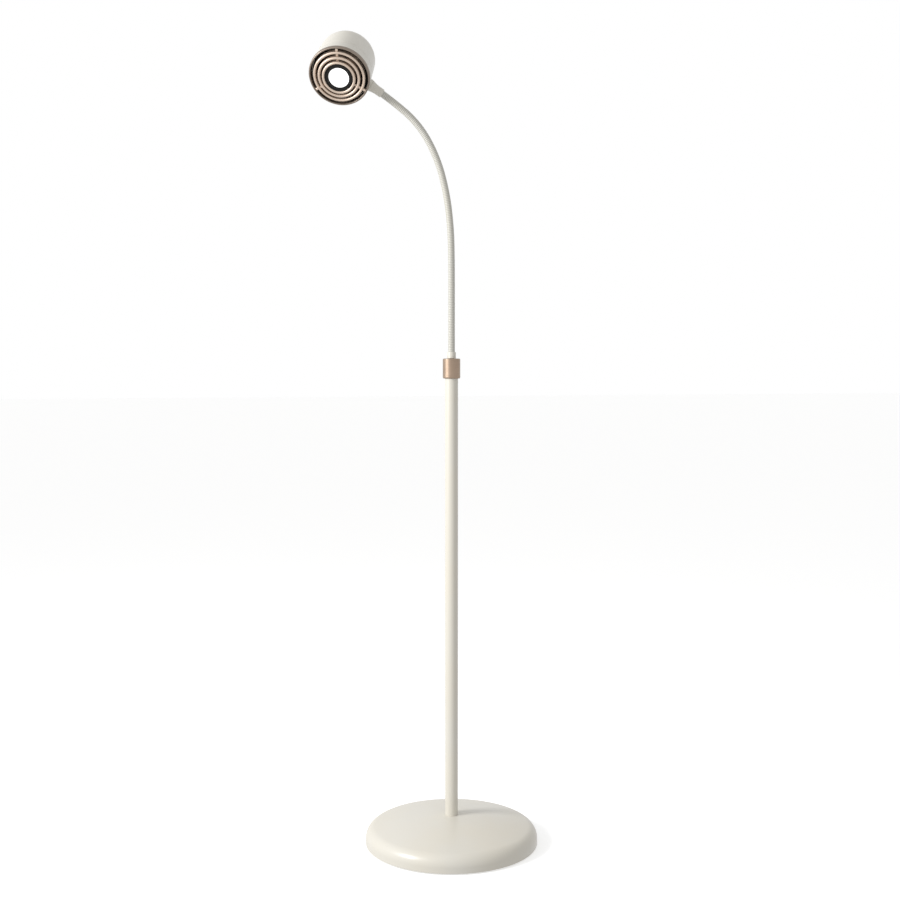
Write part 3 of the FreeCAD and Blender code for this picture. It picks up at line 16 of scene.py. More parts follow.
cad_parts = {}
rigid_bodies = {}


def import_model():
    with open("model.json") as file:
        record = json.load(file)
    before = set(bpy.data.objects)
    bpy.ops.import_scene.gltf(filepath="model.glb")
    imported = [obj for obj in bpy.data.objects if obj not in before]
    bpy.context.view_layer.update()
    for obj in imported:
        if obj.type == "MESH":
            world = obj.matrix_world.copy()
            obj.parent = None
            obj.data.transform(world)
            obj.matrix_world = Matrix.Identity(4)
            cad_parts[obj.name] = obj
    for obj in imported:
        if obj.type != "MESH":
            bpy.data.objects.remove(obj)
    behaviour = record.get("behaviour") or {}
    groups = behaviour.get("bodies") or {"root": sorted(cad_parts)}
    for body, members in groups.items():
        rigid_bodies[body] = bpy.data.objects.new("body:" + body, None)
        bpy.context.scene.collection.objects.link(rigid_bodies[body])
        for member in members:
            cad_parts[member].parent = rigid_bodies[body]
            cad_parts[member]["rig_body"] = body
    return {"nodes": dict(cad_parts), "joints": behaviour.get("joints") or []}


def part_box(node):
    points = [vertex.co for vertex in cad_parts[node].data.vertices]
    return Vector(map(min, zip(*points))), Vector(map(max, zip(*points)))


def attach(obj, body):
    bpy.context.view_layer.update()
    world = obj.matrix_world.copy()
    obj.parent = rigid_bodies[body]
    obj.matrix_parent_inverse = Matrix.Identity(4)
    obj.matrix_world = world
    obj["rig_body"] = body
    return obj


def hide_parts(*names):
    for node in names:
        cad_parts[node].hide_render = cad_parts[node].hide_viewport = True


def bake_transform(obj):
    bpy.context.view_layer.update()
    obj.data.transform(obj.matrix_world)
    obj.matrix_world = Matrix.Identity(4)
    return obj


bl_info = {
    "name": "Gooseneck Floor Lamp",
    "version": (1, 0, 0),
    "blender": (4, 5, 0),
    "location": "3D View > Sidebar > Floor Lamp",
    "description": "Builds the finished surfaces, materials and stage of a gooseneck floor lamp",
    "category": "Object",
}

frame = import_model()

NODES = frame["nodes"]
JOINTS = {joint["name"]: joint for joint in frame["joints"]}

FULL_TURN = 2.0 * math.pi
FILLET_STEPS = 7
FILLET_HOLD = 0.3
SHARP_ANGLE = math.radians(32.0)
MERGE_DISTANCE = 1e-7
FINE_AROUND = 192
SMALL_AROUND = 72
SEAT = 0.00005
HAIR, FINE, EASE, SOFT = 0.0001, 0.0002, 0.0003, 0.0004
NECK_AROUND = 36
ROWS_A_TURN = 9
SOCKET_SHARE = 0.45
SCREW_CROWN = 2.4
KNURLS = 48
KNURL_DEPTH = 0.00018
DRILL_RUN = 0.01
BORE_RUN = 0.004
STUD_RADIUS = 0.004


# ---------------------------------------------------------------- places taken from the frame


def unit(vector):
    """The vector at a length of one."""
    vector = np.asarray(vector, float)
    return vector / np.linalg.norm(vector)


def node_points(node):
    """All the vertices of a CAD node, as rows."""
    mesh = NODES[node].data
    points = np.empty(len(mesh.vertices) * 3, np.float32)
    mesh.vertices.foreach_get("co", points)
    return points.reshape(-1, 3).astype(float)


def axes_at(origin, along, across):
    """A 4 x 4 placement: its Z axis runs along one direction and its X axis is square to that."""
    placement = np.eye(4)
    placement[:3, 0] = across
    placement[:3, 1] = np.cross(along, across)
    placement[:3, 2] = along
    placement[:3, 3] = origin
    return placement


def span(node, placement, axis):
    """Lowest and highest place of a CAD node along one axis (0, 1 or 2) of a placement."""
    places = (node_points(node) - placement[:3, 3]) @ placement[:3, axis]
    return places.min(), places.max()


UPRIGHT = np.eye(4)
FRONT_AXIS = unit(JOINTS["switch_press"]["axis"])
NECK_END_AXIS = unit(JOINTS["head_turn"]["axis"])
SWIVEL_POINT = np.array(JOINTS["head_turn"]["pos_m"])
SWIVEL = axes_at(SWIVEL_POINT, -NECK_END_AXIS, np.array([0.0, 1.0, 0.0]))
BACK_PLANE = (node_points("head_rear_shell") @ FRONT_AXIS).min()
HEAD = axes_at(
    SWIVEL_POINT + FRONT_AXIS * (BACK_PLANE - SWIVEL_POINT @ FRONT_AXIS), FRONT_AXIS, -NECK_END_AXIS
)
SWIVEL_HEIGHT = float((SWIVEL_POINT - HEAD[:3, 3]) @ FRONT_AXIS)


# ---------------------------------------------------------------- outlines


def arc(centre, radius, first, last, steps=24):
    """Points on a circle from one angle to another, in radians."""
    angles = np.linspace(first, last, steps)
    return np.stack([centre[0] + radius * np.cos(angles), centre[1] + radius * np.sin(angles)], -1)


def fillet(corner, radius, before, after):
    """The arc that rounds a corner, with a point a little way along each side to hold its shading.
    The arc's centre lies on the corner's bisector, at radius / sin(half the corner's angle)."""
    back, onward = unit(before - corner), unit(after - corner)
    half = math.acos(np.clip(back @ onward, -1.0, 1.0)) / 2.0
    centre = corner + unit(back + onward) * radius / math.sin(half)
    run = radius / math.tan(half)
    hold = run + radius * FILLET_HOLD
    start, end = corner + back * run - centre, corner + onward * run - centre
    first = math.atan2(start[1], start[0])
    turn = math.atan2(start[0] * end[1] - start[1] * end[0], start @ end)
    points = arc(centre, radius, first, first + turn, FILLET_STEPS)
    return np.concatenate([[corner + back * hold], points, [corner + onward * hold]])


def outline(*stretches):
    """Points of an outline made of ready curves and of corners (across, up, fillet radius)."""
    curves = []
    for index, stretch in enumerate(stretches):
        if isinstance(stretch, np.ndarray):
            curves.append(stretch)
            continue
        before = stretches[index - 1]
        after = stretches[(index + 1) % len(stretches)]
        before = before[-1] if isinstance(before, np.ndarray) else np.array(before[:2])
        after = after[0] if isinstance(after, np.ndarray) else np.array(after[:2])
        curves.append(fillet(np.array(stretch[:2]), stretch[2], before, after))
    return np.concatenate(curves)


def block(inner, outer, bottom, top, radius):
    """A rectangle's outline with its four corners rounded."""
    return outline(
        (outer, bottom, radius), (outer, top, radius), (inner, top, radius), (inner, bottom, radius)
    )


def plug(radius, bottom, top):
    """Half the outline of a plain cylinder, to be turned into a cutter."""
    return np.array([[0.0, bottom], [radius, bottom], [radius, top], [0.0, top]])


# ---------------------------------------------------------------- meshes


def grid_faces(rows, columns, closed):
    """Quads between the rows of a grid that runs round its columns, and round its rows if closed."""
    row = np.arange(rows if closed else rows - 1)[:, None]
    column = np.arange(columns)[None, :]
    after = (column + 1) % columns
    below, above = row * columns, (row + 1) % rows * columns
    return np.stack([below + column, below + after, above + after, above + column], -1).reshape(-1, 4)


def new_piece(name, points, faces):
    """An object at the origin with a mesh of those points and faces, its doubles merged."""
    mesh = bpy.data.meshes.new(name)
    mesh.from_pydata(points.reshape(-1, 3).tolist(), [], faces.tolist())
    shape = bmesh.new()
    shape.from_mesh(mesh)
    bmesh.ops.remove_doubles(shape, verts=shape.verts, dist=MERGE_DISTANCE)
    shape.to_mesh(mesh)
    shape.free()
    piece = bpy.data.objects.new(name, mesh)
    bpy.context.scene.collection.objects.link(piece)
    return piece


def placed(points, placement):
    """Points moved from a placement's own axes to the frame's."""
    return points @ placement[:3, :3].T + placement[:3, 3]


def turned(name, profile, placement=UPRIGHT, around=FINE_AROUND, closed=True, relief=None):
    """An outline of (across, up) points turned about a placement's Z axis: at each angle a, a point goes
    to (across * cos a, across * sin a, up). Relief gives across anew from (across, up, a)."""
    area = np.sum(profile[:, 0] * np.roll(profile[:, 1], -1) - np.roll(profile[:, 0], -1) * profile[:, 1])
    profile = profile if area > 0 else profile[::-1]
    angles = np.arange(around) * FULL_TURN / around
    across, up = profile[:, :1], np.repeat(profile[:, 1:], around, 1)
    across = np.repeat(across, around, 1) if relief is None else relief(across, up, angles)
    points = np.stack([across * np.cos(angles), across * np.sin(angles), up], -1)
    return new_piece(name, placed(points, placement), grid_faces(len(profile), around, closed))


def bar(name, section, lengths, placement):
    """A bar along a placement's X axis: its closed (y, z) section stands at each length, and its two
    ends are closed by the section drawn in to its middle."""
    middle = section.mean(0)
    shares = np.array([0.0] + [1.0] * len(lengths) + [0.0])[:, None, None]
    places = np.array([lengths[0], *lengths, lengths[-1]])
    drawn = middle + (section - middle) * shares
    along = np.broadcast_to(places[:, None, None], (*drawn.shape[:2], 1))
    points = np.concatenate([along, drawn], -1)
    return new_piece(name, placed(points, placement), grid_faces(len(places), len(section), False))


def spun(placement, angle):
    """A placement turned about its own Z axis."""
    turn = np.eye(4)
    turn[:2, :2] = [[math.cos(angle), -math.sin(angle)], [math.sin(angle), math.cos(angle)]]
    return placement @ turn


def shifted(placement, across=0.0, aside=0.0, up=0.0):
    """A placement moved along its own axes."""
    step = np.eye(4)
    step[:3, 3] = across, aside, up
    return placement @ step


def joined(name, pieces):
    """Several pieces as one, each keeping its own closed surface."""
    mesh = bpy.data.meshes.new(name)
    shape = bmesh.new()
    for piece in pieces:
        shape.from_mesh(piece.data)
        bpy.data.objects.remove(piece)
    shape.to_mesh(mesh)
    shape.free()
    whole = bpy.data.objects.new(name, mesh)
    bpy.context.scene.collection.objects.link(whole)
    return whole


def carved(piece, operation, tool):
    """Cut a tool out of a piece, or join it on, as one closed surface. The tool is removed."""
    modifier = piece.modifiers.new("carve", "BOOLEAN")
    modifier.operation = operation
    modifier.solver = "EXACT"
    modifier.use_self = operation == "UNION"
    modifier.object = tool
    graph = bpy.context.evaluated_depsgraph_get()
    carved_mesh = bpy.data.meshes.new_from_object(piece.evaluated_get(graph))
    piece.modifiers.clear()
    piece.data = carved_mesh
    bpy.data.objects.remove(tool)
    return piece


def smooth(piece):
    """Shade a piece smoothly, with its true edges left sharp."""
    mesh = piece.data
    mesh.polygons.foreach_set("use_smooth", np.ones(len(mesh.polygons), bool))
    mesh.set_sharp_from_angle(angle=SHARP_ANGLE)


def dress(piece, material):
    """Give a piece one material all over."""
    piece.data.materials.clear()
    piece.data.materials.append(material)
    piece.data.polygons.foreach_set("material_index", np.zeros(len(piece.data.polygons), np.int32))


def fit(piece, material, slot, *nodes, body=None):
    """Finish a piece that stands for CAD nodes: it takes their place and rides on their body."""
    smooth(piece)
    dress(piece, material)
    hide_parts(*nodes)
    if body is None:
        body = NODES[nodes[0]]["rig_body"]
    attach(piece, body)


# ---------------------------------------------------------------- materials


class Value:
    """A shader socket in a sum: an operator on it adds the Math node that works the sum out."""

    def __init__(self, finish, socket):
        self.finish = finish
        self.socket = socket

    def __add__(self, other):
        return self.finish.math("ADD", self, other)

    def __mul__(self, other):
        return self.finish.math("MULTIPLY", self, other)

    def __pow__(self, other):
        return self.finish.math("POWER", self, other)

    __radd__, __rmul__ = __add__, __mul__


class Finish:
    """One material under way: its node tree, and short ways to add to it."""

    def __init__(self, name, colour, roughness, metallic=0.0):
        self.material = bpy.data.materials.new(name)
        self.material.use_nodes = True
        self.material.diffuse_color = (*colour[:3], 1.0)
        self.tree = self.material.node_tree
        self.shader = self.tree.nodes["Principled BSDF"]
        self.colour = tuple(colour[:3])
        self.shader.inputs["Base Color"].default_value = (*self.colour, 1.0)
        self.shader.inputs["Roughness"].default_value = roughness
        self.shader.inputs["Metallic"].default_value = metallic

    def node(self, kind, settings=(), inputs=(), output=0):
        """Add a node: its settings first, then the values or links of its sockets."""
        made = self.tree.nodes.new(kind)
        for key, value in dict(settings).items():
            if key == "stops":
                self.set_stops(made.color_ramp.elements, value)
            else:
                setattr(made, key, value)
        for key, value in dict(inputs).items():
            self.feed(made.inputs[key], value)
        return Value(self, made.outputs[output])

    def set_stops(self, elements, stops):
        """Give a ramp its stops: (place, grey level) pairs."""
        while len(elements) < len(stops):
            elements.new(0.5)
        for element, (place, level) in zip(elements, stops):
            element.position = place
            element.color = (level, level, level, 1.0)

    def feed(self, socket, value):
        """Link a socket to a worked-out value, or set it."""
        if isinstance(value, Value):
            self.tree.links.new(value.socket, socket)
        else:
            socket.default_value = value

    def math(self, operation, first, second=0.0):
        """A Math node."""
        return self.node("ShaderNodeMath", {"operation": operation}, {0: first, 1: second})

    def place(self, placement=UPRIGHT):
        """Object coordinates seen from a placement: turned back, and measured from its origin."""
        turn = Matrix(placement[:3, :3].T.tolist())
        shift = -placement[:3, :3].T @ placement[:3, 3]
        here = self.node("ShaderNodeTexCoord", output="Object")
        return self.node(
            "ShaderNodeMapping",
            {"vector_type": "POINT"},
            {"Vector": here, "Location": tuple(shift), "Rotation": turn.to_euler()},
        )

    def noise(self, vector, scale, detail=3.0, roughness=0.5):
        """Cloudy noise from 0 to 1, with its scale in waves per metre."""
        inputs = {"Vector": vector, "Scale": scale, "Detail": detail, "Roughness": roughness}
        return self.node("ShaderNodeTexNoise", {}, inputs)

    def cells(self, vector, scale, feature="F1"):
        """Distance to the nearest of scattered points, in cells."""
        inputs = {"Vector": vector, "Scale": scale}
        return self.node("ShaderNodeTexVoronoi", {"feature": feature}, inputs)

    def ramp(self, value, *stops):
        """The value through a ramp of (place, grey level) stops."""
        return self.node("ShaderNodeValToRGB", {"stops": stops}, {"Fac": value})

    def parts(self, vector):
        """The three parts of a vector."""
        split = self.node("ShaderNodeSeparateXYZ", {}, {"Vector": vector}).socket.node
        return [Value(self, output) for output in split.outputs]

    def vector(self, *parts):
        """A vector of three parts."""
        return self.node("ShaderNodeCombineXYZ", {}, dict(enumerate(parts)))

    def mixed(self, share, first, second):
        """One colour turning into another as the share goes from 0 to 1."""
        inputs = {0: share, 6: self.opaque(first), 7: self.opaque(second)}
        return self.node("ShaderNodeMix", {"data_type": "RGBA"}, inputs, output=2)

    def opaque(self, colour):
        """A colour with its alpha, or a link left as it is."""
        return colour if isinstance(colour, Value) else (*colour[:3], 1.0)

    def tint(self, factor):
        """The material's colour made darker or lighter."""
        return tuple(min(part * factor, 1.0) for part in self.colour)

    def paint(self, colour):
        """Use a worked-out base colour."""
        self.feed(self.shader.inputs["Base Color"], colour)

    def gloss(self, roughness):
        """Use a worked-out roughness."""
        self.feed(self.shader.inputs["Roughness"], roughness)

    def bump(self, height, depth):
        """Raise the surface by a height from 0 to 1, at a depth in metres."""
        lifted = self.node("ShaderNodeBump", {}, {"Height": height, "Strength": 1.0, "Distance": depth})
        self.feed(self.shader.inputs["Normal"], lifted)

    def coat(self, weight, roughness):
        """A clear coat all over."""
        self.shader.inputs["Coat Weight"].default_value = weight
        self.shader.inputs["Coat Roughness"].default_value = roughness


def enamel(name, colour, shaded_grooves=False):
    """Satin enamel: a fine orange peel under a soft coat, faint clouds of a warmer tone, a few dust
    specks, and, on the wound neck, painted shade that darkens the grooves."""
    finish = Finish(name, colour, 0.4)
    here = finish.place()
    clouds = finish.noise(here, 9.0, 4.0)
    peel = finish.noise(here, 900.0, 2.0)
    fine = finish.noise(here, 3200.0, 2.0)
    specks = finish.ramp(finish.cells(here, 160.0), (0.0, 1.0), (0.035, 0.0))
    warm = tuple(part * factor for part, factor in zip(finish.colour, (1.01, 0.985, 0.94)))
    base = finish.mixed(finish.ramp(clouds, (0.35, 0.0), (0.7, 1.0)), finish.colour, warm)
    base = finish.mixed(specks * 0.22, base, finish.tint(0.62))
    roughness = 0.3 + clouds * 0.12 + fine * 0.06
    if shaded_grooves:
        # Painted shade: the winding's grooves go darker by their depth, as shade falls in them.
        groove = finish.node("ShaderNodeAttribute", {"attribute_name": "groove"}, output="Fac")
        base = finish.mixed(groove * 0.62, base, finish.tint(0.3))
        roughness = roughness + groove * 0.25
    finish.paint(base)
    finish.gloss(roughness)
    finish.bump(peel * 0.7 + fine * 0.3, 0.00004)
    finish.coat(0.3, 0.22)
    return finish.material


def bronze(name, colour, placement, rim):
    """Lacquered bronze with turning lines: noise that changes along and out from the turned axis and
    hardly round it, so that it draws fine rings. From the rim's radius outwards it is darker, as
    painted shade."""
    finish = Finish(name, colour, 0.36, 0.8)
    here = finish.place(placement)
    across, aside, up = finish.parts(here)
    radius = (across * across + aside * aside) ** 0.5
    rings = finish.noise(finish.vector(radius * 5200.0, up * 5200.0, across * 40.0), 1.0, 3.0)
    wide = finish.noise(finish.vector(radius * 700.0, up * 700.0, aside * 15.0), 1.0, 2.0)
    clouds = finish.noise(here, 55.0, 4.0)
    base = finish.mixed(finish.ramp(rings, (0.3, 0.0), (0.7, 1.0)), finish.tint(0.86), finish.tint(1.1))
    base = finish.mixed(finish.ramp(clouds, (0.45, 0.0), (0.75, 0.35)), base, finish.tint(0.7))
    # Painted shade: beyond the rim's radius the colour is pulled most of the way to a quarter of its tint.
    finish.paint(finish.mixed(finish.math("GREATER_THAN", radius, rim) * 0.8, base, finish.tint(0.25)))
    finish.gloss(0.36 + rings * 0.14 + wide * 0.1)
    finish.bump(rings * 0.6 + wide * 0.4, 0.00003)
    finish.coat(0.25, 0.18)
    return finish.material


def grained(name, colour, roughness, metallic, grain, depth, contrast=0.12):
    """A moulded, cast or rolled surface: grain of one size in its colour, gloss and relief."""
    finish = Finish(name, colour, roughness, metallic)
    here = finish.place()
    fine = finish.noise(here, grain, 4.0, 0.6)
    clouds = finish.noise(here, grain / 14.0, 3.0)
    shade = finish.ramp(fine * 0.6 + clouds * 0.4, (0.3, 0.0), (0.7, 1.0))
    finish.paint(finish.mixed(shade, finish.tint(1.0 - contrast), finish.tint(1.0 + contrast)))
    finish.gloss(roughness - 0.08 + fine * 0.1 + clouds * 0.06)
    finish.bump(fine, depth)
    return finish


def cast_iron(name, colour):
    """Raw grey iron: sand-cast pits over a coarse grain, with rust coming through."""
    finish = grained(name, colour, 0.72, 0.35, 900.0, 0.00018, 0.2)
    here = finish.place()
    rust = finish.ramp(finish.noise(here, 38.0, 6.0, 0.7), (0.52, 0.0), (0.7, 0.7))
    base = finish.shader.inputs["Base Color"].links[0].from_socket
    finish.paint(finish.mixed(rust, Value(finish, base), (0.2, 0.085, 0.04)))
    return finish.material


def zinc(name, colour):
    """Zinc-plated steel: pale spangle cells with a drawn grain over them."""
    finish = Finish(name, colour, 0.34, 1.0)
    here = finish.place()
    spangle = finish.cells(here, 420.0)
    drawn = finish.noise(finish.vector(*[part * 2600.0 for part in finish.parts(here)]), 1.0, 2.0)
    finish.paint(finish.mixed(spangle * 0.8, finish.tint(1.08), finish.tint(0.8)))
    finish.gloss(0.26 + spangle * 0.14 + drawn * 0.08)
    finish.bump(drawn, 0.00002)
    return finish.material


def frosted(name, colour, painted_glow):
    """Frosted front glass: a soft etched white with a painted glow, a painted pool of light that is
    brightest where the bulb sits behind it."""
    finish = Finish(name, colour, 0.5)
    across, aside, up = finish.parts(finish.place(HEAD))
    centre = (across * across + aside * aside) ** 0.5
    etched = finish.noise(finish.vector(across, aside, up), 2600.0, 3.0)
    # Painted glow: the emission is strongest at the glass's middle, as a painted pool of light.
    share = finish.ramp(centre * 62.0, (0.0, 1.0), (0.55, 0.82), (1.0, 0.5))
    finish.paint(finish.mixed(etched * 0.3, finish.colour, finish.tint(0.93)))
    finish.feed(finish.shader.inputs["Emission Color"], finish.mixed(share, (0.7, 0.7, 0.68), colour))
    finish.shader.inputs["Emission Strength"].default_value = painted_glow
    finish.gloss(0.42 + etched * 0.2)
    finish.bump(etched, 0.00003)
    finish.coat(0.4, 0.12)
    return finish.material


def mirror_bowl(name, colour):
    """Bright coated reflector with small facets."""
    finish = Finish(name, colour, 0.12, 1.0)
    facets = finish.cells(finish.place(HEAD), 520.0)
    finish.paint(finish.mixed(facets * 0.4, finish.tint(1.05), finish.tint(0.85)))
    finish.gloss(0.08 + facets * 0.08)
    finish.bump(facets, 0.00012)
    return finish.material


def clear_glass(name, colour):
    """Clear quartz with faint drawing lines."""
    finish = Finish(name, colour, 0.05)
    finish.shader.inputs["Transmission Weight"].default_value = 0.9
    finish.bump(finish.noise(finish.place(HEAD), 700.0, 2.0), 0.00002)
    return finish.material


# ---------------------------------------------------------------- what a user can change


def size(name, description, default):
    """A length that a user can change, in metres."""
    return bpy.props.FloatProperty(
        name=name, description=description, default=default, min=0.0, precision=5, unit="LENGTH"
    )


def tone(name, description, default):
    """A colour that a user can change."""
    return bpy.props.FloatVectorProperty(
        name=name, description=description, default=default, subtype="COLOR", size=3, min=0.0, max=1.0
    )


class BaseSizes(bpy.types.PropertyGroup):
    """Sizes of the weighted base."""

    radius: size("Radius", "Radius of the domed cover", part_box("base_cover")[1].x)
    height: size("Height", "Height of the cover's crown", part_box("base_cover")[1].z)
    wall: size("Wall", "Thickness of the cover's sheet", 0.0018)
    skirt_top: size("Skirt top", "Height where the skirt turns into the shoulder", 0.010)
    shoulder: size("Shoulder", "Radius of the rounded shoulder", 0.018)
    rim_width: size("Rim width", "How far the rolled rim turns in", 0.0042)
    screw_head: size("Screw head", "Radius of a plate screw's head", 0.0046)
    screw_circle: size("Screw circle", "Distance of the plate screws from the centre", 0.082)
    grommet_bore: size("Grommet bore", "Radius of the cord's way through the grommet", 0.0032)
    screw_shank: size("Screw shank", "Radius of a plate screw's shank", 0.0025)
    foot_width: size("Foot width", "Width of the rubber foot ring", 0.010)
    rim_sheet: size("Rim sheet", "Thickness of the rolled rim", 0.001)
    grommet_grip: size("Grommet grip", "Distance between the grommet's flanges", 0.0031)
    grommet_groove: size("Grommet groove", "Radius of the grommet in the cover's hole", 0.00405)


class PoleSizes(bpy.types.PropertyGroup):
    """Sizes of the pole and of the collar on it."""

    radius: size("Radius", "Radius of the pole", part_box("pole")[1].x)
    wall: size("Wall", "Wall of the pole", 0.0015)
    collar_radius: size("Collar radius", "Radius of the collar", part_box("collar")[1].x)
    collar_bore: size("Collar bore", "Radius of the collar's bore round the pole", 0.00955)
    collar_bush: size("Bush bore", "Radius of the collar's bore round the bush", 0.00755)
    collar_mouth: size("Collar mouth", "Radius of the hole in the collar's lip", 0.0050)
    collar_lip: size("Collar lip", "Thickness of the collar's lip", 0.0018)
    edge: size("Edge", "Rounding of the collar's edges", 0.0018)
    grub_radius: size("Set screw", "Radius of the collar's set screw", 0.0015)


class NeckSizes(bpy.types.PropertyGroup):
    """Sizes of the gooseneck and its end pieces."""

    radius: size("Radius", "Outer radius of the gooseneck", 0.0050)
    bore: size("Bore", "Radius of the hollow inside the gooseneck", 0.0035)
    pitch: size("Pitch", "Distance from one turn of the winding to the next", 0.0024)
    groove: size("Groove", "Depth of the groove between two turns", 0.0006)
    bend_reach: size("Bend reach", "How far a bend spreads to each side of its hinge", 0.0105)
    socket_radius: size("Socket radius", "Radius of the neck's lower socket", 0.00635)
    stem_radius: size("Stem radius", "Radius of the swivelling stem", 0.0045)
    stem_bore: size("Stem bore", "Radius of the wire way in the stem", 0.0029)
    socket_gap: size("Socket gap", "Gap between the collar and the socket", 0.0003)
    socket_floor: size("Socket floor", "Thickness of the socket's floor", 0.0015)
    cone_seat: size("Cone seat", "Distance from the cone's mouth to the neck's end", 0.0074)
    cone_rim: size("Cone rim", "Height of the straight rim at the cone's mouth", 0.0015)
    cone_collar: size("Cone collar", "Length of the straight collar at the cone's top", 0.005)
    cone_mouth: size("Cone mouth", "Radius of the cone where it meets the head", 0.0080)
    cone_neck: size("Cone neck", "Radius of the cone where it meets the gooseneck", 0.0062)
    cone_flare: size("Cone flare", "Radius of the cone's hollow side", 0.040)


class HeadSizes(bpy.types.PropertyGroup):
    """Sizes of the drum-shaped head."""

    taper: bpy.props.FloatProperty(
        name="Taper",
        description="Narrowing of the drum's side towards the back",
        default=math.radians(3.5),
        unit="ROTATION",
    )
    wall: size("Wall", "Thickness of the head's shells", 0.0012)
    back_round: size("Back rounding", "Radius of the rounded back edge", 0.026)
    seam: size("Seam", "Distance from the back to the seam", 0.058)
    seam_gap: size("Seam gap", "Width of the open seam", 0.0004)
    bezel: size("Bezel", "Depth of the bronze rim", 0.005)
    boss_radius: size("Boss radius", "Radius of the swivel boss", 0.0084)
    boss_reach: size("Boss reach", "Distance of the boss's face from the head's axis", 0.0445)
    boss_depth: size("Boss depth", "Thickness of the swivel boss", 0.0072)
    vent_inner: size("Vent inner end", "Distance of a vent's inner end from the axis", 0.0170)
    vent_outer: size("Vent outer end", "Distance of a vent's outer end from the axis", 0.0290)
    vent_width: size("Vent width", "Width of a vent", 0.0026)
    ledge: size("Ledge", "How far the carrier's ledge stands in from the wall", 0.0016)
    ledge_sheet: size("Ledge sheet", "Thickness of the ledge", 0.0014)
    carrier_sheet: size("Carrier sheet", "Thickness of the lamp carrier's disc", 0.0015)
    button_radius: size("Button radius", "Radius of the push button", 0.0044)
    button_well: size("Button well", "Depth of the hole that the button slides in", 0.008)
    button_crown: size("Button crown", "Radius of the curve of the button's face", 0.012)
    switch_radius: size("Switch radius", "Radius of the switch's body", 0.0085)
    switch_neck: size("Switch neck", "Radius of the switch's threaded neck", 0.0060)


class GrilleSizes(bpy.types.PropertyGroup):
    """Sizes of the ring grille and of the lamp behind it."""

    rim_inner: size("Rim", "Inner radius of the rim", 0.0404)
    outer_ring: size("Outer ring", "Middle radius of the outer ring", 0.03465)
    outer_width: size("Outer ring width", "Width of the outer ring", 0.0039)
    outer_rise: size("Outer ring rise", "How far the outer ring stands in front of the rim", 0.0015)
    middle_ring: size("Middle ring", "Middle radius of the middle ring", 0.0279)
    middle_width: size("Middle ring width", "Width of the middle ring", 0.0040)
    middle_rise: size("Middle ring rise", "How far the middle ring stands in front of the rim", 0.0032)
    inner_ring: size("Inner ring", "Middle radius of the inner ring", 0.02165)
    inner_width: size("Inner ring width", "Width of the inner ring", 0.0039)
    inner_rise: size("Inner ring rise", "How far the inner ring stands in front of the rim", 0.0046)
    ring_depth: size("Ring depth", "Depth of a ring", 0.0085)
    spoke_width: size("Spoke width", "Width of a spoke", 0.0036)
    spokes: bpy.props.IntProperty(name="Spokes", description="Number of spokes", default=3, min=2)
    spoke_turn: bpy.props.FloatProperty(
        name="Spoke turn",
        description="Turn of the first spoke from the neck's direction",
        default=math.radians(7.0),
        unit="ROTATION",
    )
    spoke_drop: size("Spoke drop", "How far the spokes lie behind the rim's front", 0.0006)
    rim_round: size("Rim rounding", "Rounding of the rim's front edge", 0.0016)
    glass_radius: size("Glass radius", "Radius of the lamp's front glass", 0.0159)
    glass_seat: size("Glass seat", "Depth of the glass's seat behind the lamp's rim", 0.00145)
    bowl_rim: size("Bowl rim", "Radius of the reflector's rim", 0.0176)
    bowl_rim_height: size("Bowl rim height", "Height of the reflector's rim", 0.0038)
    bowl_edge: size("Bowl edge", "Radius of the bowl where it meets its rim", 0.0154)
    bowl_curve: size("Bowl curve", "Radius of the curve of the bowl's side", 0.030)
    bowl_wall: size("Bowl wall", "Wall of the reflector", 0.0012)
    bowl_neck: size("Bowl neck", "Radius of the reflector's neck", 0.0075)
    bowl_neck_height: size("Bowl neck height", "Length of the reflector's neck", 0.007)
    bowl_bore: size("Bowl bore", "Radius of the hole in the reflector's neck", 0.005)
    tube_gap: size("Tube gap", "How much wider the carrier's tube is than the glass", 0.0023)
    tube_wall: size("Tube wall", "Wall of the carrier's tube", 0.001)
    lip_sheet: size("Lip sheet", "Thickness of the lip that the lamp sits on", 0.0012)
    retainer_bore: size("Retainer bore", "Radius of the hole in the lamp's retaining ring", 0.0144)


class LampColours(bpy.types.PropertyGroup):
    """Colours of the lamp's finishes."""

    cream: tone("Cream", "Enamel of the base, pole and head", (0.69, 0.664, 0.597))
    neck: tone("Neck", "Enamel of the gooseneck", (0.60, 0.59, 0.54))
    bronze: tone("Bronze", "Lacquered bronze of the collar", (0.36, 0.265, 0.195))
    # Painted light: the rings share the collar's bronze, given a lighter tone matched to their lit fronts.
    rings: tone("Rings", "Lacquered bronze of the grille", (0.60, 0.49, 0.40))
    # Partly painted shade: the carrier is black, and this near-black with little shine stands for the shade
    # seen through the grille's gaps.
    black: tone("Black", "Heat-resistant black behind the grille", (0.012, 0.011, 0.010))
    rubber: tone("Rubber", "Foot ring and grommet", (0.02, 0.02, 0.02))
    glass: tone("Glass", "The lamp's frosted front", (0.95, 0.95, 0.93))
    floor: tone("Floor", "The pale floor", (0.8, 0.8, 0.798))


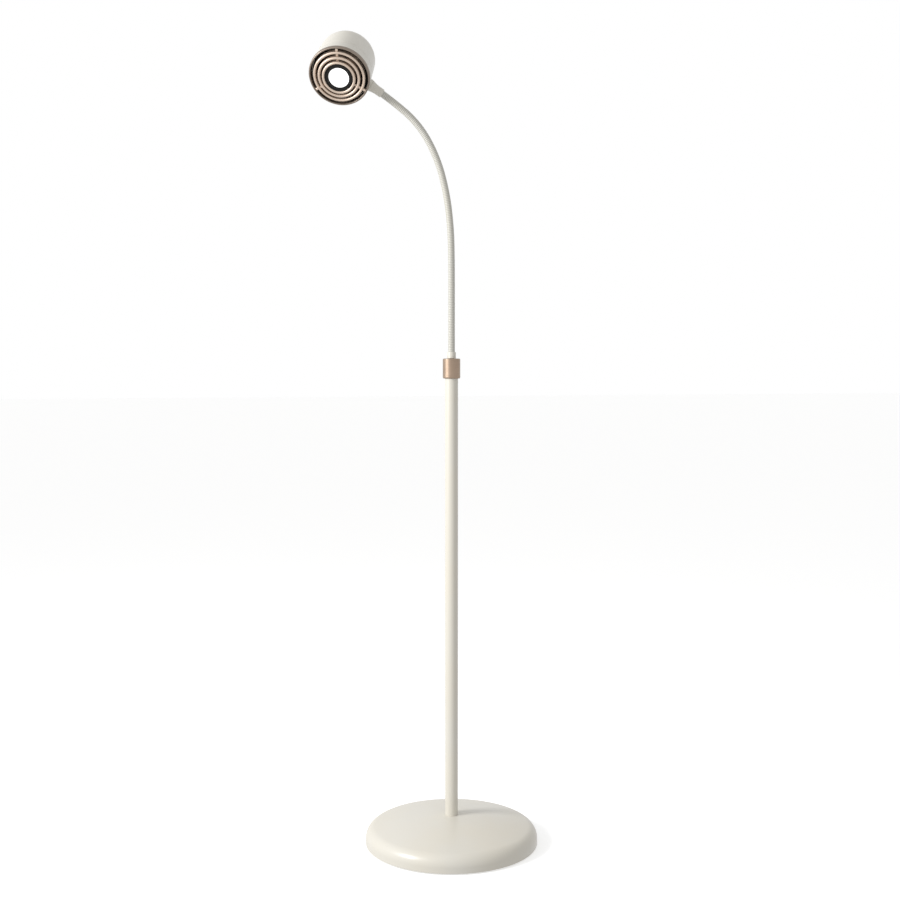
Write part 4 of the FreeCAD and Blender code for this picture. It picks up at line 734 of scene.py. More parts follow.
class StageSizes(bpy.types.PropertyGroup):
    """Where the camera stands, and how strong the light is."""

    camera: bpy.props.FloatVectorProperty(
        name="Camera", description="Place of the camera", default=(-0.580, -1.785, 0.702), unit="LENGTH"
    )
    aim: bpy.props.FloatVectorProperty(
        name="Aim", description="Point the camera looks at", default=(-0.0021, 0.0007, 0.584), unit="LENGTH"
    )
    lens: bpy.props.FloatProperty(
        name="Lens", description="Focal length on a 36 mm sensor", default=51.6, min=1.0
    )
    key: bpy.props.FloatProperty(
        name="Key", description="Power of the key light, in watts", default=25.0, min=0.0
    )
    key_place: bpy.props.FloatVectorProperty(
        name="Key place", description="Place of the key light", default=(-1.6, -0.25, 1.1), unit="LENGTH"
    )
    key_size: size("Key size", "Width of the key light", 0.5)
    sky: bpy.props.FloatProperty(name="Sky", description="Strength of the soft light", default=0.59, min=0.0)
    floor: size("Floor", "Half the width of the floor", 30.0)


SETTINGS = {
    "lamp_base": BaseSizes,
    "lamp_pole": PoleSizes,
    "lamp_neck": NeckSizes,
    "lamp_head": HeadSizes,
    "lamp_grille": GrilleSizes,
    "lamp_colours": LampColours,
    "lamp_stage": StageSizes,
}


# ---------------------------------------------------------------- the base


def cover_profile(sizes, inset):
    """The cover's side from its skirt's foot to the pole, set in from the outside. The shoulder's circle
    touches the skirt, and the dome's circle touches the shoulder's from within: with run and drop from
    the crown's foot to the shoulder's centre, the dome's radius is
    (run^2 + drop^2 - shoulder^2) / (2 * (drop - shoulder))."""
    run = sizes.radius - sizes.shoulder
    drop = sizes.height - sizes.skirt_top
    dome = (run**2 + drop**2 - sizes.shoulder**2) / (2.0 * (drop - sizes.shoulder))
    meet = math.atan2(dome - drop, run)
    shoulder = arc((run, sizes.skirt_top), sizes.shoulder - inset, 0.0, meet, 28)
    hole = math.acos((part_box("pole")[1].x + 2.0 * SEAT) / (dome - inset))
    crown = arc((0.0, sizes.height - dome), dome - inset, meet, hole, 60)
    return np.concatenate([shoulder, crown[1:]])


def base_cover(sizes, material):
    """The domed cover with its rolled rim, and a round hole for the grommet in its back."""
    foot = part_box("base_cover")[0].z
    inside = sizes.radius - sizes.rim_width - sizes.wall
    edge = sizes.wall / 4.0
    profile = outline(
        (inside, foot, edge),
        (sizes.radius, foot, edge),
        cover_profile(sizes, 0.0),
        cover_profile(sizes, sizes.wall)[::-1],
        (sizes.radius - sizes.wall, foot + sizes.rim_sheet, edge / 2.0),
        (inside, foot + sizes.rim_sheet, edge),
    )
    piece = turned("base_cover_shell", profile, around=256)
    low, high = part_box("cord_grommet")
    behind = axes_at((0.0, low.y, (low.z + high.z) / 2.0), (0.0, 1.0, 0.0), (1.0, 0.0, 0.0))
    hole = block(0.0, sizes.grommet_groove + SEAT, 0.0, high.y - low.y, SEAT)
    carved(piece, "DIFFERENCE", turned("entry_tool", hole[hole[:, 0] >= 0.0], behind, SMALL_AROUND))
    fit(piece, material, "cream_enamel", "base_cover")


def foot_ring(sizes, material):
    """The rubber ring under the plate, with its edges eased."""
    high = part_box("foot_ring")[1]
    inner = high.x - sizes.foot_width
    piece = turned("foot_ring_rubber", block(inner, high.x, 0.0, high.z, 0.0009))
    fit(piece, material, "black_rubber", "foot_ring")


def screw_shape(name, placement, radius, height, socket, shank, length):
    """A socket-headed screw: a domed head below its seat, a shank above it, and a six-sided socket."""
    crown = radius * SCREW_CROWN
    dome = arc((0.0, crown - height), crown, -math.pi / 2.0, -math.pi / 2.0 + 0.3, 8)
    profile = outline(
        dome,
        (radius, EASE - height, FINE),
        (radius, 0.0, FINE),
        (shank, 0.0, HAIR),
        (shank, length, FINE),
        np.array([[0.0, length]]),
    )
    piece = turned(name, profile, placement, SMALL_AROUND, closed=False)
    tool = turned(f"{name}_socket", plug(socket, -2.0 * height, -height * 0.4), placement, 6, closed=False)
    return carved(piece, "DIFFERENCE", tool)


def plate_screws(sizes, material):
    """The four screws under the plate."""
    low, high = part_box("plate_screws")
    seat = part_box("base_plate")[0].z
    screws = [
        screw_shape(
            f"plate_screw_{index}",
            shifted(spun(UPRIGHT, FULL_TURN * index / 4), sizes.screw_circle, 0.0, seat),
            sizes.screw_head,
            seat - low.z,
            sizes.screw_head * SOCKET_SHARE,
            sizes.screw_shank,
            high.z - seat,
        )
        for index in range(4)
    ]
    fit(joined("plate_screw_set", screws), material, "steel", "plate_screws")


def cord_grommet(sizes, material):
    """The rubber grommet: two rounded flanges, a neck in the cover's hole and an eased bore."""
    low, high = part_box("cord_grommet")
    flange, length = high.x, high.y - low.y
    outer_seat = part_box("base_cover")[1].y + SEAT - low.y
    inner_seat = outer_seat - sizes.grommet_grip
    placement = axes_at((0.0, low.y, (low.z + high.z) / 2.0), (0.0, 1.0, 0.0), (1.0, 0.0, 0.0))
    profile = outline(
        (sizes.grommet_bore, 0.0, 0.0006),
        (flange, 0.0, 0.0011),
        (flange, inner_seat, EASE),
        (sizes.grommet_groove, inner_seat, HAIR),
        (sizes.grommet_groove, outer_seat, HAIR),
        (flange, outer_seat, EASE),
        (flange, length, 0.0012),
        (sizes.grommet_bore, length, 0.0009),
    )
    piece = turned("cord_grommet_rubber", profile, placement, SMALL_AROUND)
    fit(piece, material, "black_rubber", "cord_grommet")


class LAMP_OT_base(bpy.types.Operator):
    """Build the domed base with its foot ring, screws and grommet"""

    bl_idname = "lamp.base"
    bl_label = "Base"

    def execute(self, context):
        sizes, colours = context.scene.lamp_base, context.scene.lamp_colours
        rubber = grained("black_rubber", colours.rubber, 0.62, 0.0, 1500.0, 0.00005).material
        steel = zinc("plated_steel", (0.62, 0.62, 0.63))
        base_cover(sizes, enamel("base_enamel", colours.cream))
        foot_ring(sizes, rubber)
        plate_screws(sizes, steel)
        cord_grommet(sizes, rubber)
        dress(NODES["base_plate"], steel)
        return {"FINISHED"}


# ---------------------------------------------------------------- the pole and the collar


def pole_tube(sizes, material):
    """The pole: a long tube with eased ends."""
    low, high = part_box("pole")
    profile = block(sizes.radius - sizes.wall, sizes.radius, low.z, high.z, EASE)
    fit(turned("pole_tube", profile, around=96), material, "cream_enamel", "pole")


def collar(sizes, material):
    """The bronze collar: rounded edges and a lip over the bush."""
    low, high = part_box("collar")
    pole_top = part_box("pole")[1].z
    edge = sizes.edge
    profile = outline(
        (sizes.collar_bore, low.z, FINE),
        (sizes.collar_radius, low.z, edge),
        (sizes.collar_radius, high.z, edge),
        (sizes.collar_mouth, high.z, EASE),
        (sizes.collar_mouth, high.z - sizes.collar_lip, FINE),
        (sizes.collar_bush, high.z - sizes.collar_lip, FINE),
        (sizes.collar_bush, pole_top, FINE),
        (sizes.collar_bore, pole_top, FINE),
    )
    piece = turned("collar_bronze", profile)
    screw_low, screw_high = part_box("collar_set_screw")
    middle = (screw_low.z + screw_high.z) / 2.0
    across = axes_at((0.0, sizes.radius, middle), (0.0, 1.0, 0.0), (1.0, 0.0, 0.0))
    bore = sizes.grub_radius + SEAT
    tool = turned("grub_tool", plug(bore, 0.0, DRILL_RUN), across, SMALL_AROUND, closed=False)
    carved(piece, "DIFFERENCE", tool)
    fit(piece, material, "bronze", "collar")


def set_screw(sizes, material):
    """The headless screw in the collar's back, with its six-sided socket."""
    low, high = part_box("collar_set_screw")
    placement = axes_at((0.0, low.y, (low.z + high.z) / 2.0), (0.0, 1.0, 0.0), (1.0, 0.0, 0.0))
    length = high.y - low.y
    profile = outline(
        np.array([[0.0, 0.0]]),
        (sizes.grub_radius, 0.0, EASE),
        (sizes.grub_radius, length, FINE),
        np.array([[0.0, length]]),
    )
    piece = turned("collar_grub_screw", profile, placement, SMALL_AROUND, closed=False)
    socket, depth = sizes.grub_radius / 2.0, length / 2.0
    tool = turned("grub_socket", plug(socket, depth, 2.0 * length), placement, 6, closed=False)
    carved(piece, "DIFFERENCE", tool)
    fit(piece, material, "steel", "collar_set_screw")


class LAMP_OT_pole(bpy.types.Operator):
    """Build the pole, the bronze collar and its set screw"""

    bl_idname = "lamp.pole"
    bl_label = "Pole and collar"

    def execute(self, context):
        sizes, colours = context.scene.lamp_pole, context.scene.lamp_colours
        pole_tube(sizes, enamel("pole_enamel", colours.cream))
        collar(sizes, bronze("collar_lacquer", colours.bronze, UPRIGHT, 1.0))
        set_screw(sizes, bpy.data.materials["plated_steel"])
        return {"FINISHED"}


# ---------------------------------------------------------------- the gooseneck


def neck_line():
    """The neck's hinges, the neck's lean at each, and the length between two. Between hinges the neck
    is an arc, so its lean at the far end is twice the chord's lean less the lean at the near end."""
    names = ["arm_swivel"] + [f"neck_bend_{index}" for index in range(1, 8)]
    hinges = np.array([JOINTS[name]["pos_m"] for name in names])
    leans = [0.0]
    for chord in np.diff(hinges, axis=0):
        leans.append(2.0 * math.atan2(-chord[0], chord[2]) - leans[-1])
    leans.append(math.atan2(-NECK_END_AXIS[0], NECK_END_AXIS[2]))
    return hinges, np.array(leans), float(np.linalg.norm(hinges[1] - hinges[0]))


def neck_places(distances):
    """Points on the neck's line and its lean there, at distances from its start. On an arc of curvature
    k, the chord to distance d is d * sinc(k * d / 2) long and leans by k * d / 2 more than the start."""
    hinges, leans, length = neck_line()
    section = np.clip((distances / length).astype(int), 0, len(hinges) - 1)
    beyond = distances - section * length
    half = np.diff(leans)[section] / length * beyond / 2.0
    chord = beyond * np.sinc(half / math.pi)
    lean = leans[section] + half
    step = np.stack([-np.sin(lean), np.zeros_like(lean), np.cos(lean)], -1)
    return hinges[section] + chord[:, None] * step, lean + half


def neck_skin(name, sizes, first, last):
    """The wound skin between two distances along the neck. The winding is a helix: at angle a and
    distance d the turn's phase is d / pitch - a / (2 pi), and the wire's round back stands
    groove * (1 - sqrt(1 - u^2)) under its crown, with u from -1 to 1 across a turn."""
    outer_rows = int(round((last - first) / sizes.pitch * ROWS_A_TURN)) + 1
    outer = np.linspace(first, last, outer_rows)
    inner = np.linspace(last, first, 18)
    distances = np.concatenate([outer, inner])
    centres, leans = neck_places(distances)
    angles = np.arange(NECK_AROUND) * FULL_TURN / NECK_AROUND
    across = 2.0 * ((distances[:, None] / sizes.pitch - angles / FULL_TURN) % 1.0) - 1.0
    groove = 1.0 - np.sqrt(np.clip(1.0 - across**2, 0.0, 1.0))
    groove[outer_rows:] = 0.0
    radii = np.where(np.arange(len(distances)) < outer_rows, sizes.radius, sizes.bore)[:, None]
    radii = radii - sizes.groove * groove
    sideways = np.stack([np.cos(leans), np.zeros_like(leans), np.sin(leans)], -1)
    around = np.cos(angles)[:, None] * sideways[:, None] + np.sin(angles)[:, None] * np.array([0.0, 1.0, 0.0])
    points = centres[:, None] + radii[..., None] * around
    piece = new_piece(name, points, grid_faces(len(distances), len(angles), True))
    # The groove depth rides on the points; the neck enamel darkens by it as painted shade.
    attribute = piece.data.attributes.new("groove", "FLOAT", "POINT")
    attribute.data.foreach_set("value", groove.ravel().astype(np.float32))
    return piece


def gooseneck(sizes, material):
    """Nine lengths of skin: one from the socket to the middle of the first section, one from each
    middle to the next, curved across the hinge between, and one into the cone. Only the first and
    the last ride on a neck section's body; the ones between are not attached to any body."""
    hinges, _, length = neck_line()
    last = len(hinges)
    marks = [0.0] + [(index + 0.5) * length for index in range(last)] + [last * length]
    bends = np.arange(last) * length
    starts, _ = neck_places(np.clip(bends - sizes.bend_reach, 0.0, None))
    ends, _ = neck_places(bends + sizes.bend_reach)
    for index, (first, after) in enumerate(zip(marks, marks[1:])):
        piece = neck_skin(f"gooseneck_{index + 1}", sizes, first, after)
        smooth(piece)
        dress(piece, material)
        if index in (0, last):
            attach(piece, f"neck_{max(index, 1)}")
        else:
            f"neck_{index + 1}"
            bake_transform(piece)
        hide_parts(f"neck_section_{min(index + 1, last)}")


def neck_socket(sizes, material):
    """The small socket over the collar that holds the neck's foot, on its swivelling stem."""
    low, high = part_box("neck_socket")
    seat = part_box("collar")[1].z + sizes.socket_gap
    floor = seat + sizes.socket_floor
    rest = sizes.radius + SEAT
    profile = outline(
        (sizes.stem_bore, low.z, FINE),
        (sizes.stem_radius, low.z, EASE),
        (sizes.stem_radius, seat, FINE),
        (sizes.socket_radius, seat, SOFT),
        (sizes.socket_radius, high.z, 0.0007),
        (rest, high.z, EASE),
        (rest, floor, FINE),
        (sizes.stem_bore, floor, FINE),
    )
    piece = turned("neck_socket_ferrule", profile, around=SMALL_AROUND * 2)
    fit(piece, material, "cream_enamel", "neck_socket")


def neck_cone(sizes, material):
    """The bell between the neck and the head: a hollow flare from the neck to a rounded mouth."""
    mouth, top = span("neck_cone", SWIVEL, 2)
    seat = mouth + sizes.cone_seat
    rim, collar_foot = mouth + sizes.cone_rim, top - sizes.cone_collar
    bore, hole = sizes.radius + EASE, STUD_RADIUS + SEAT
    rise, inward = collar_foot - rim, sizes.cone_mouth - sizes.cone_neck
    chord = math.hypot(rise, inward)
    middle = np.array([sizes.cone_mouth - inward / 2.0, (rim + collar_foot) / 2.0])
    square = np.array([rise, inward]) / chord
    centre = middle + square * math.sqrt(sizes.cone_flare**2 - chord**2 / 4.0)
    first, last = (
        math.atan2(end[1] - centre[1], end[0] - centre[0]) % FULL_TURN
        for end in ((sizes.cone_mouth, rim), (sizes.cone_neck, collar_foot))
    )
    profile = outline(
        (hole, mouth, EASE),
        (sizes.cone_mouth, mouth, 0.0006),
        arc(centre, sizes.cone_flare, first, last, 20),
        (sizes.cone_neck, top, 0.0005),
        (bore, top, EASE),
        (bore, seat, FINE),
        (hole, seat, FINE),
    )
    piece = turned("neck_cone_bell", profile, SWIVEL, SMALL_AROUND * 2)
    fit(piece, material, "cream_enamel", "neck_cone")


class LAMP_OT_neck(bpy.types.Operator):
    """Build the wound gooseneck, its lower socket and the cone at its upper end"""

    bl_idname = "lamp.neck"
    bl_label = "Gooseneck"

    def execute(self, context):
        sizes, colours = context.scene.lamp_neck, context.scene.lamp_colours
        # The neck's enamel paints shade into its grooves.
        gooseneck(sizes, enamel("neck_enamel", colours.neck, shaded_grooves=True))
        cream = enamel("fitting_enamel", colours.cream)
        neck_socket(sizes, cream)
        neck_cone(sizes, cream)
        return {"FINISHED"}


# ---------------------------------------------------------------- the head


def drum_side(sizes, up):
    """The drum's outer radius at a height above its back."""
    radius = span("grille", HEAD, 0)[1]
    front = span("head_front_shell", HEAD, 2)[1]
    return radius - (front - up) * math.tan(sizes.taper)


def back_curve(sizes, inset):
    """The rounded back edge, set in from the outside, from the back's flat to the tapered side."""
    lean = sizes.back_round * math.sin(sizes.taper)
    centre = drum_side(sizes, sizes.back_round - lean) - sizes.back_round * math.cos(sizes.taper)
    return arc((centre, sizes.back_round), sizes.back_round - inset, -math.pi / 2.0, -sizes.taper, 36)


def vent_tool(sizes, count):
    """Round-ended cutters for the vents, standing round the head's axis."""
    half = sizes.vent_width / 2.0
    right = arc((sizes.vent_outer - half, 0.0), half, -math.pi / 2.0, math.pi / 2.0, 10)
    left = arc((sizes.vent_inner + half, 0.0), half, math.pi / 2.0, 1.5 * math.pi, 10)
    section = np.concatenate([right, left])
    upright = axes_at((0.0, 0.0, 0.0), (0.0, 1.0, 0.0), (0.0, 0.0, 1.0))
    slots = [
        bar(f"vent_{index}", section, [-0.002, 0.009], spun(HEAD, FULL_TURN * index / count) @ upright)
        for index in range(count)
    ]
    return joined("vent_tool", slots)


def rear_shell(sizes, material):
    """The drum's rounded back: a turned shell with a spigot, joined to the swivel boss, with a ring of
    vents round the switch."""
    wall, seam = sizes.wall, sizes.seam
    side = drum_side(sizes, seam)
    spigot = side - wall - SEAT
    tip = span("head_rear_shell", HEAD, 2)[1]
    hole = sizes.switch_neck + FINE
    profile = outline(
        (hole, 0.0, FINE),
        back_curve(sizes, 0.0),
        (side, seam, EASE),
        (spigot, seam, HAIR),
        (spigot, tip, FINE),
        (spigot - wall, tip, FINE),
        back_curve(sizes, wall)[::-1],
        (hole, wall, FINE),
    )
    piece = turned("head_rear_drum", profile, HEAD)
    across = axes_at(SWIVEL_POINT, -NECK_END_AXIS, np.cross(FRONT_AXIS, -NECK_END_AXIS))
    face, root = sizes.boss_reach, sizes.boss_reach - sizes.boss_depth
    ring = block(STUD_RADIUS + 2.0 * SEAT, sizes.boss_radius, root, face, SOFT)
    boss = turned("boss_blank", ring, across, SMALL_AROUND)
    bore = plug(STUD_RADIUS + SEAT, root - BORE_RUN, face + BORE_RUN)
    carved(piece, "UNION", boss)
    carved(piece, "DIFFERENCE", turned("boss_bore", bore, across, SMALL_AROUND, closed=False))
    carved(piece, "DIFFERENCE", vent_tool(sizes, 12))
    fit(piece, material, "cream_enamel", "head_rear_shell")


def front_shell(sizes, material):
    """The drum's front shell, with its ledge inside."""
    bottom = sizes.seam + sizes.seam_gap
    top = span("head_front_shell", HEAD, 2)[1]
    ledge = span("lamp_carrier", HEAD, 2)[0] + sizes.carrier_sheet + SEAT
    inner = drum_side(sizes, ledge) - sizes.wall
    profile = outline(
        (drum_side(sizes, bottom) - sizes.wall, bottom, FINE),
        (drum_side(sizes, bottom), bottom, EASE),
        (drum_side(sizes, top), top, FINE),
        (drum_side(sizes, top) - sizes.wall, top, FINE),
        (inner, ledge + sizes.ledge_sheet, FINE),
        (inner - sizes.ledge, ledge + sizes.ledge_sheet, EASE),
        (inner - sizes.ledge, ledge, EASE),
        (inner, ledge, FINE),
    )
    fit(turned("head_front_drum", profile, HEAD), material, "cream_enamel", "head_front_shell")


def switch(sizes, body_material, nut_material, button_material):
    """The push switch: its threaded body, a knurled ring nut and a crowned button."""
    back, far = span("switch_body", HEAD, 2)
    well, neck = sizes.button_radius + SEAT, sizes.switch_neck
    flange = sizes.wall + SEAT
    profile = outline(
        np.array([[0.0, sizes.button_well]]),
        (well, sizes.button_well, FINE),
        (well, back, FINE),
        (neck, back, EASE),
        (neck, flange, HAIR),
        (sizes.switch_radius, flange, SOFT),
        (sizes.switch_radius, far, 0.0006),
        np.array([[0.0, far]]),
    )
    body = turned("switch_housing", profile, HEAD, SMALL_AROUND, closed=False)
    fit(body, body_material, "black_plastic", "switch_body")
    low, high = span("switch_nut", HEAD, 2)
    outer = span("switch_nut", HEAD, 0)[1]

    def knurl(across, up, angles):
        """Round ribs that die out towards the nut's edges and bore."""
        rim = np.clip((across - outer + EASE) / EASE, 0.0, 1.0)
        return across - rim * KNURL_DEPTH * (1.0 + np.cos(KNURLS * angles)) + 0.0 * up

    ring = turned("switch_ring_nut", block(neck + SEAT, outer, low, high, EASE), HEAD, 288, relief=knurl)
    fit(ring, nut_material, "steel", "switch_nut")
    tip, tail = span("switch_button", HEAD, 2)
    curve = sizes.button_crown
    crown = arc((0.0, tip + curve), curve, -math.pi / 2.0, -math.pi / 2.0 + 0.28, 10)
    profile = outline(
        crown,
        (sizes.button_radius, tip + SOFT, 0.0005),
        (sizes.button_radius, tail, FINE),
        np.array([[0.0, tail]]),
    )
    button = turned("push_button", profile, HEAD, SMALL_AROUND, closed=False)
    fit(button, button_material, "switch_cream", "switch_button")


class LAMP_OT_head(bpy.types.Operator):
    """Build the head's two shells and the push switch"""

    bl_idname = "lamp.head"
    bl_label = "Head"

    def execute(self, context):
        sizes, colours = context.scene.lamp_head, context.scene.lamp_colours
        cream = enamel("head_enamel", colours.cream)
        rear_shell(sizes, cream)
        front_shell(sizes, cream)
        plastic = grained("black_plastic", (0.03, 0.03, 0.032), 0.45, 0.0, 1300.0, 0.00004).material
        moulded = grained("cream_plastic", colours.cream, 0.34, 0.0, 1100.0, 0.00002, 0.04).material
        switch(sizes, plastic, bpy.data.materials["plated_steel"], moulded)
        return {"FINISHED"}


# ---------------------------------------------------------------- the grille and the lamp


def ring_profile(radius, width, front, depth):
    """One ring of the grille: eased behind, and fully rounded over its front."""
    half = width / 2.0
    cap = arc((radius, front - half), half, 0.0, math.pi, 26)
    back = front - depth
    return outline((radius - half, back, SOFT), (radius + half, back, SOFT), cap)


def grille(sizes, head, material):
    """Three rings, each standing prouder towards the middle, and the rim, joined by spokes."""
    front = span("head_front_shell", HEAD, 2)[1] + head.bezel
    radius = span("grille", HEAD, 0)[1]
    low = span("grille", HEAD, 2)[0]
    seat = front - head.bezel + SEAT
    spigot = drum_side(head, low) - head.wall - 2.0 * SEAT
    rim = outline(
        (spigot - head.wall, low, FINE),
        (spigot, low, FINE),
        (spigot, seat, HAIR),
        (radius, seat, FINE),
        (radius, front, sizes.rim_round),
        (sizes.rim_inner, front, 0.0007),
        (sizes.rim_inner, seat, FINE),
        (spigot - head.wall, seat - SOFT, FINE),
    )
    piece = turned("grille_rim", rim, HEAD)
    rings = [
        (sizes.outer_ring, sizes.outer_width, sizes.outer_rise),
        (sizes.middle_ring, sizes.middle_width, sizes.middle_rise),
        (sizes.inner_ring, sizes.inner_width, sizes.inner_rise),
    ]
    half = sizes.spoke_width / 2.0
    back = front + sizes.inner_rise - sizes.ring_depth + SEAT
    section = block(-half, half, back, front - sizes.spoke_drop, 0.0007)
    inward, outward = sizes.inner_ring, sizes.rim_inner + 0.0012
    parts = [piece] + [
        turned(f"ring_{index}", ring_profile(middle, width, front + rise, sizes.ring_depth), HEAD)
        for index, (middle, width, rise) in enumerate(rings)
    ]
    turns = sizes.spoke_turn + np.arange(sizes.spokes) * FULL_TURN / sizes.spokes
    lengths = np.linspace(inward, outward, 12)
    parts += [bar(f"spoke_{index}", section, lengths, spun(HEAD, turn)) for index, turn in enumerate(turns)]
    fit(joined("ring_grille", parts), material, "bronze", "grille")


def carrier(sizes, head, material):
    """The black disc and tube behind the grille."""
    low, high = span("lamp_carrier", HEAD, 2)
    outer = span("lamp_carrier", HEAD, 0)[1]
    seat = span("lamp_reflector", HEAD, 2)[1] - sizes.bowl_rim_height - SEAT
    face, foot = low + head.carrier_sheet, seat - sizes.lip_sheet
    tube, lip = sizes.glass_radius + sizes.tube_gap, sizes.glass_radius - 2.0 * SEAT
    profile = outline(
        (tube, low, FINE),
        (outer, low, EASE),
        (outer, face, EASE),
        (tube + sizes.tube_wall, face, SOFT),
        (tube + sizes.tube_wall, high, EASE),
        (tube, high, EASE),
        (tube, seat, HAIR),
        (lip, seat, FINE),
        (lip, foot, FINE),
        (tube, foot, FINE),
    )
    piece = turned("lamp_carrier_disc", profile, HEAD)
    fit(piece, material, "black_enamel", "lamp_carrier")


def bulb(sizes, glass, bowl, black):
    """The reflector lamp's bowl and frosted glass, and the black ring in front of its rim."""
    low, high = span("lamp_reflector", HEAD, 2)
    rim, neck = sizes.bowl_rim, sizes.bowl_neck
    neck_top, rim_foot = low + sizes.bowl_neck_height, high - sizes.bowl_rim_height
    seat = high - sizes.glass_seat - SEAT
    start, end = np.array([neck, neck_top]), np.array([sizes.bowl_edge, rim_foot])
    chord = end - start
    square = unit(np.array([-chord[1], chord[0]]))
    centre = start + chord / 2.0 + square * math.sqrt(sizes.bowl_curve**2 - chord @ chord / 4.0)
    first, last = (math.atan2(place[1] - centre[1], place[0] - centre[0]) for place in (start, end))
    inside = arc(centre, sizes.bowl_curve - sizes.bowl_wall, first, last, 22)[::-1]
    profile = outline(
        (sizes.bowl_bore, low, EASE),
        (neck, low, SOFT),
        arc(centre, sizes.bowl_curve, first, last, 22),
        (rim, rim_foot, SOFT),
        (rim, high, SOFT),
        (sizes.glass_radius + SEAT, high, FINE),
        (sizes.glass_radius + SEAT, seat, HAIR),
        inside,
        (sizes.bowl_bore, neck_top + sizes.bowl_wall, EASE),
    )
    fit(turned("lamp_bowl", profile, HEAD, FINE_AROUND), bowl, "reflector", "lamp_reflector")
    bottom, top = span("lamp_glass", HEAD, 2)
    front = np.array([[0.0, top]])
    radius = sizes.glass_radius
    disc = outline(np.array([[0.0, bottom]]), (radius, bottom, FINE), (radius, top, SOFT), front)
    piece = turned("lamp_front_glass", disc, HEAD, FINE_AROUND, closed=False)
    fit(piece, glass, "frosted_glass", "lamp_glass")
    bottom, top = span("lamp_retainer", HEAD, 2)
    outer = span("lamp_retainer", HEAD, 0)[1]
    ring = turned("lamp_snap_ring", block(sizes.retainer_bore, outer, bottom, top, EASE), HEAD)
    fit(ring, black, "black_enamel", "lamp_retainer")


class LAMP_OT_grille(bpy.types.Operator):
    """Build the ring grille, the black carrier behind it and the lamp"""

    bl_idname = "lamp.grille"
    bl_label = "Grille and lamp"

    def execute(self, context):
        scene = context.scene
        sizes, colours = scene.lamp_grille, scene.lamp_colours
        # The grille's rim, beyond the rings, gets painted shade.
        lacquer = bronze("grille_lacquer", colours.rings, HEAD, sizes.rim_inner - EASE)
        grille(sizes, scene.lamp_head, lacquer)
        # Painted shade: the carrier and snap ring are near-black with low shine, so the grille's gaps read as
        # shade.
        dark = grained("black_enamel", colours.black, 0.6, 0.0, 1200.0, 0.00005, 0.25)
        dark.shader.inputs["Specular IOR Level"].default_value = 0.15
        black = dark.material
        carrier(sizes, scene.lamp_head, black)
        # The front glass gets a painted glow of strength 0.9.
        glass = frosted("frosted_glass", colours.glass, 0.9)
        bulb(sizes, glass, mirror_bowl("mirror_bowl", (0.86, 0.86, 0.87)), black)
        return {"FINISHED"}


# ---------------------------------------------------------------- what stays inside


class LAMP_OT_inside(bpy.types.Operator):
    """Give the working parts inside the lamp their materials"""

    bl_idname = "lamp.inside"
    bl_label = "Inside"

    def execute(self, context):
        steel = bpy.data.materials["plated_steel"]
        plastic = bpy.data.materials["black_plastic"]
        nylon = grained("nylon", (0.72, 0.70, 0.64), 0.5, 0.0, 900.0, 0.00003, 0.05).material
        jacket = grained("lead_jacket", (0.68, 0.67, 0.63), 0.48, 0.0, 1400.0, 0.00003, 0.05).material
        ceramic = grained("ceramic", (0.76, 0.73, 0.66), 0.7, 0.0, 1800.0, 0.00006, 0.07).material
        inside = {
            cast_iron("cast_iron", (0.10, 0.10, 0.105)): ["base_weight"],
            plastic: ["transformer"],
            nylon: ["terminal_block", "collar_bush", "swivel_washer"],
            jacket: ["pole_lead", "head_wires"] + [f"neck_lead_{index}" for index in range(1, 9)],
            ceramic: ["lampholder"],
            clear_glass("clear_glass", (0.95, 0.96, 0.97)): ["lamp_capsule"],
        }
        for material, nodes in inside.items():
            for node in nodes:
                dress(NODES[node], material)
        # What still shows in its CAD finish, such as nuts and screws, is plated steel.
        for node in NODES.values():
            if not node.hide_render and node.data.materials[0].name not in FINISHES:
                dress(node, steel)
        return {"FINISHED"}


FINISHES = ("cast_iron", "black_plastic", "nylon", "lead_jacket", "ceramic", "clear_glass", "plated_steel")


# ---------------------------------------------------------------- the stage


def floor(half, colour):
    """The pale floor: a flat sheet with the faintest mottling."""
    corners = np.array([[-half, -half, 0.0], [half, -half, 0.0], [half, half, 0.0], [-half, half, 0.0]])
    sheet = new_piece("floor", corners, np.array([[0, 1, 2, 3]]))
    finish = Finish("pale_floor", colour, 0.85)
    finish.shader.inputs["Specular IOR Level"].default_value = 0.1
    mottle = finish.noise(finish.place(), 6.0, 3.0)
    finish.paint(finish.mixed(mottle * 0.4, finish.colour, finish.tint(0.985)))
    finish.shader.inputs["Emission Color"].default_value = (*colour, 1.0)
    finish.shader.inputs["Emission Strength"].default_value = 0.6
    dress(sheet, finish.material)
    sheet.visible_diffuse = sheet.visible_glossy = False


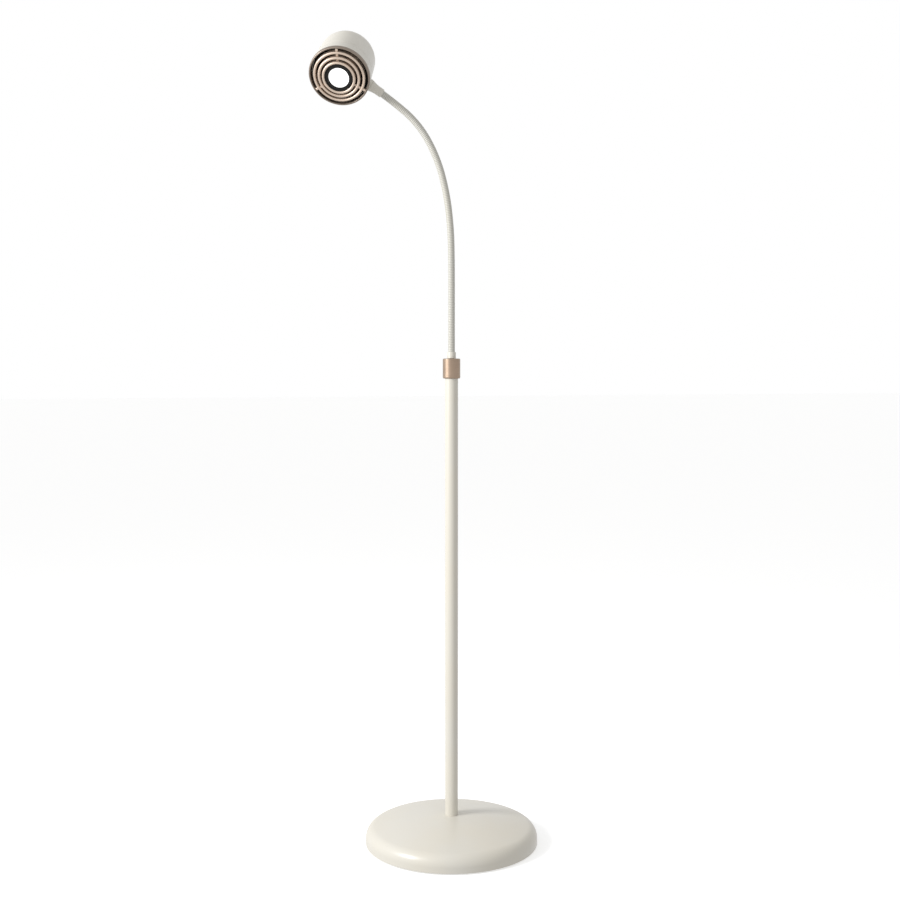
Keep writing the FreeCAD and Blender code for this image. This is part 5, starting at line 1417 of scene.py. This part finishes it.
def sky(strength, brighter):
    """Soft light from all round, stronger from one side. The camera and reflections see it white."""
    world = bpy.data.worlds.new("studio")
    bpy.context.scene.world = world
    world.use_nodes = True
    nodes, links = world.node_tree.nodes, world.node_tree.links
    where = nodes.new("ShaderNodeTexCoord")
    lean = nodes.new("ShaderNodeVectorMath")
    lean.operation = "DOT_PRODUCT"
    lean.inputs[1].default_value = unit(brighter)
    links.new(where.outputs["Generated"], lean.inputs[0])
    level = nodes.new("ShaderNodeMapRange")
    for socket, value in zip(level.inputs[1:5], (-1.0, 1.0, strength * 0.75, strength * 1.25)):
        socket.default_value = value
    links.new(lean.outputs["Value"], level.inputs[0])
    path = nodes.new("ShaderNodeLightPath")
    either = nodes.new("ShaderNodeMath")
    either.operation = "MAXIMUM"
    links.new(path.outputs["Is Camera Ray"], either.inputs[0])
    links.new(path.outputs["Is Glossy Ray"], either.inputs[1])
    seen = nodes.new("ShaderNodeMix")
    links.new(either.outputs["Value"], seen.inputs[0])
    links.new(level.outputs[0], seen.inputs[2])
    seen.inputs[3].default_value = 1.0
    background = nodes["Background"]
    background.inputs["Color"].default_value = (1.0, 1.0, 1.0, 1.0)
    links.new(seen.outputs[0], background.inputs["Strength"])


def key_light(power, place, width):
    """The key light: a soft square close to the lamp, level with the top of its pole."""
    light = bpy.data.lights.new("key", "AREA")
    light.energy = power
    light.size = width
    lamp = bpy.data.objects.new("key", light)
    lamp.location = place
    lamp.rotation_euler = (Vector((0.0, 0.0, 0.5)) - Vector(place)).to_track_quat("-Z", "Y").to_euler()
    bpy.context.scene.collection.objects.link(lamp)


class LAMP_OT_stage(bpy.types.Operator):
    """Lay the pale floor, set the studio light and stand the camera in its place"""

    bl_idname = "lamp.stage"
    bl_label = "Stage"

    def execute(self, context):
        scene, sizes = context.scene, context.scene.lamp_stage
        floor(sizes.floor, scene.lamp_colours.floor)
        sky(sizes.sky, (-0.9, -0.5, 0.15))
        key_light(sizes.key, sizes.key_place, sizes.key_size)
        camera = bpy.data.objects.new("camera", bpy.data.cameras.new("camera"))
        camera.data.lens = sizes.lens
        camera.data.sensor_width = 36.0
        camera.location = sizes.camera
        looking = Vector(sizes.aim) - Vector(sizes.camera)
        camera.rotation_euler = looking.to_track_quat("-Z", "Y").to_euler()
        scene.collection.objects.link(camera)
        scene.camera = camera
        scene.view_settings.view_transform = "Standard"
        return {"FINISHED"}


# ---------------------------------------------------------------- the panel, and the run


OPERATORS = (
    LAMP_OT_base,
    LAMP_OT_pole,
    LAMP_OT_neck,
    LAMP_OT_head,
    LAMP_OT_grille,
    LAMP_OT_inside,
    LAMP_OT_stage,
)


class LAMP_PT_panel(bpy.types.Panel):
    """The lamp's sizes, colours and build steps"""

    bl_idname = "LAMP_PT_panel"
    bl_label = "Floor Lamp"
    bl_space_type = "VIEW_3D"
    bl_region_type = "UI"
    bl_category = "Floor Lamp"

    def draw(self, context):
        for operator in OPERATORS:
            self.layout.operator(operator.bl_idname)
        for name, group in SETTINGS.items():
            box = self.layout.box()
            box.label(text=group.__doc__)
            for key in group.__annotations__:
                box.prop(getattr(context.scene, name), key)


def register():
    """Add the settings, the operators and the panel."""
    for group in (*SETTINGS.values(), *OPERATORS, LAMP_PT_panel):
        bpy.utils.register_class(group)
    for name, group in SETTINGS.items():
        setattr(bpy.types.Scene, name, bpy.props.PointerProperty(type=group))


def unregister():
    """Take them away again."""
    for name in SETTINGS:
        delattr(bpy.types.Scene, name)
    for group in (LAMP_PT_panel, *OPERATORS[::-1], *SETTINGS.values()):
        bpy.utils.unregister_class(group)


def main():
    """Build every piece in order."""
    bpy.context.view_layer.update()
    register()
    for operator in OPERATORS:
        group, name = operator.bl_idname.split(".")
        getattr(getattr(bpy.ops, group), name)()


if __name__ == "__main__":
    main()
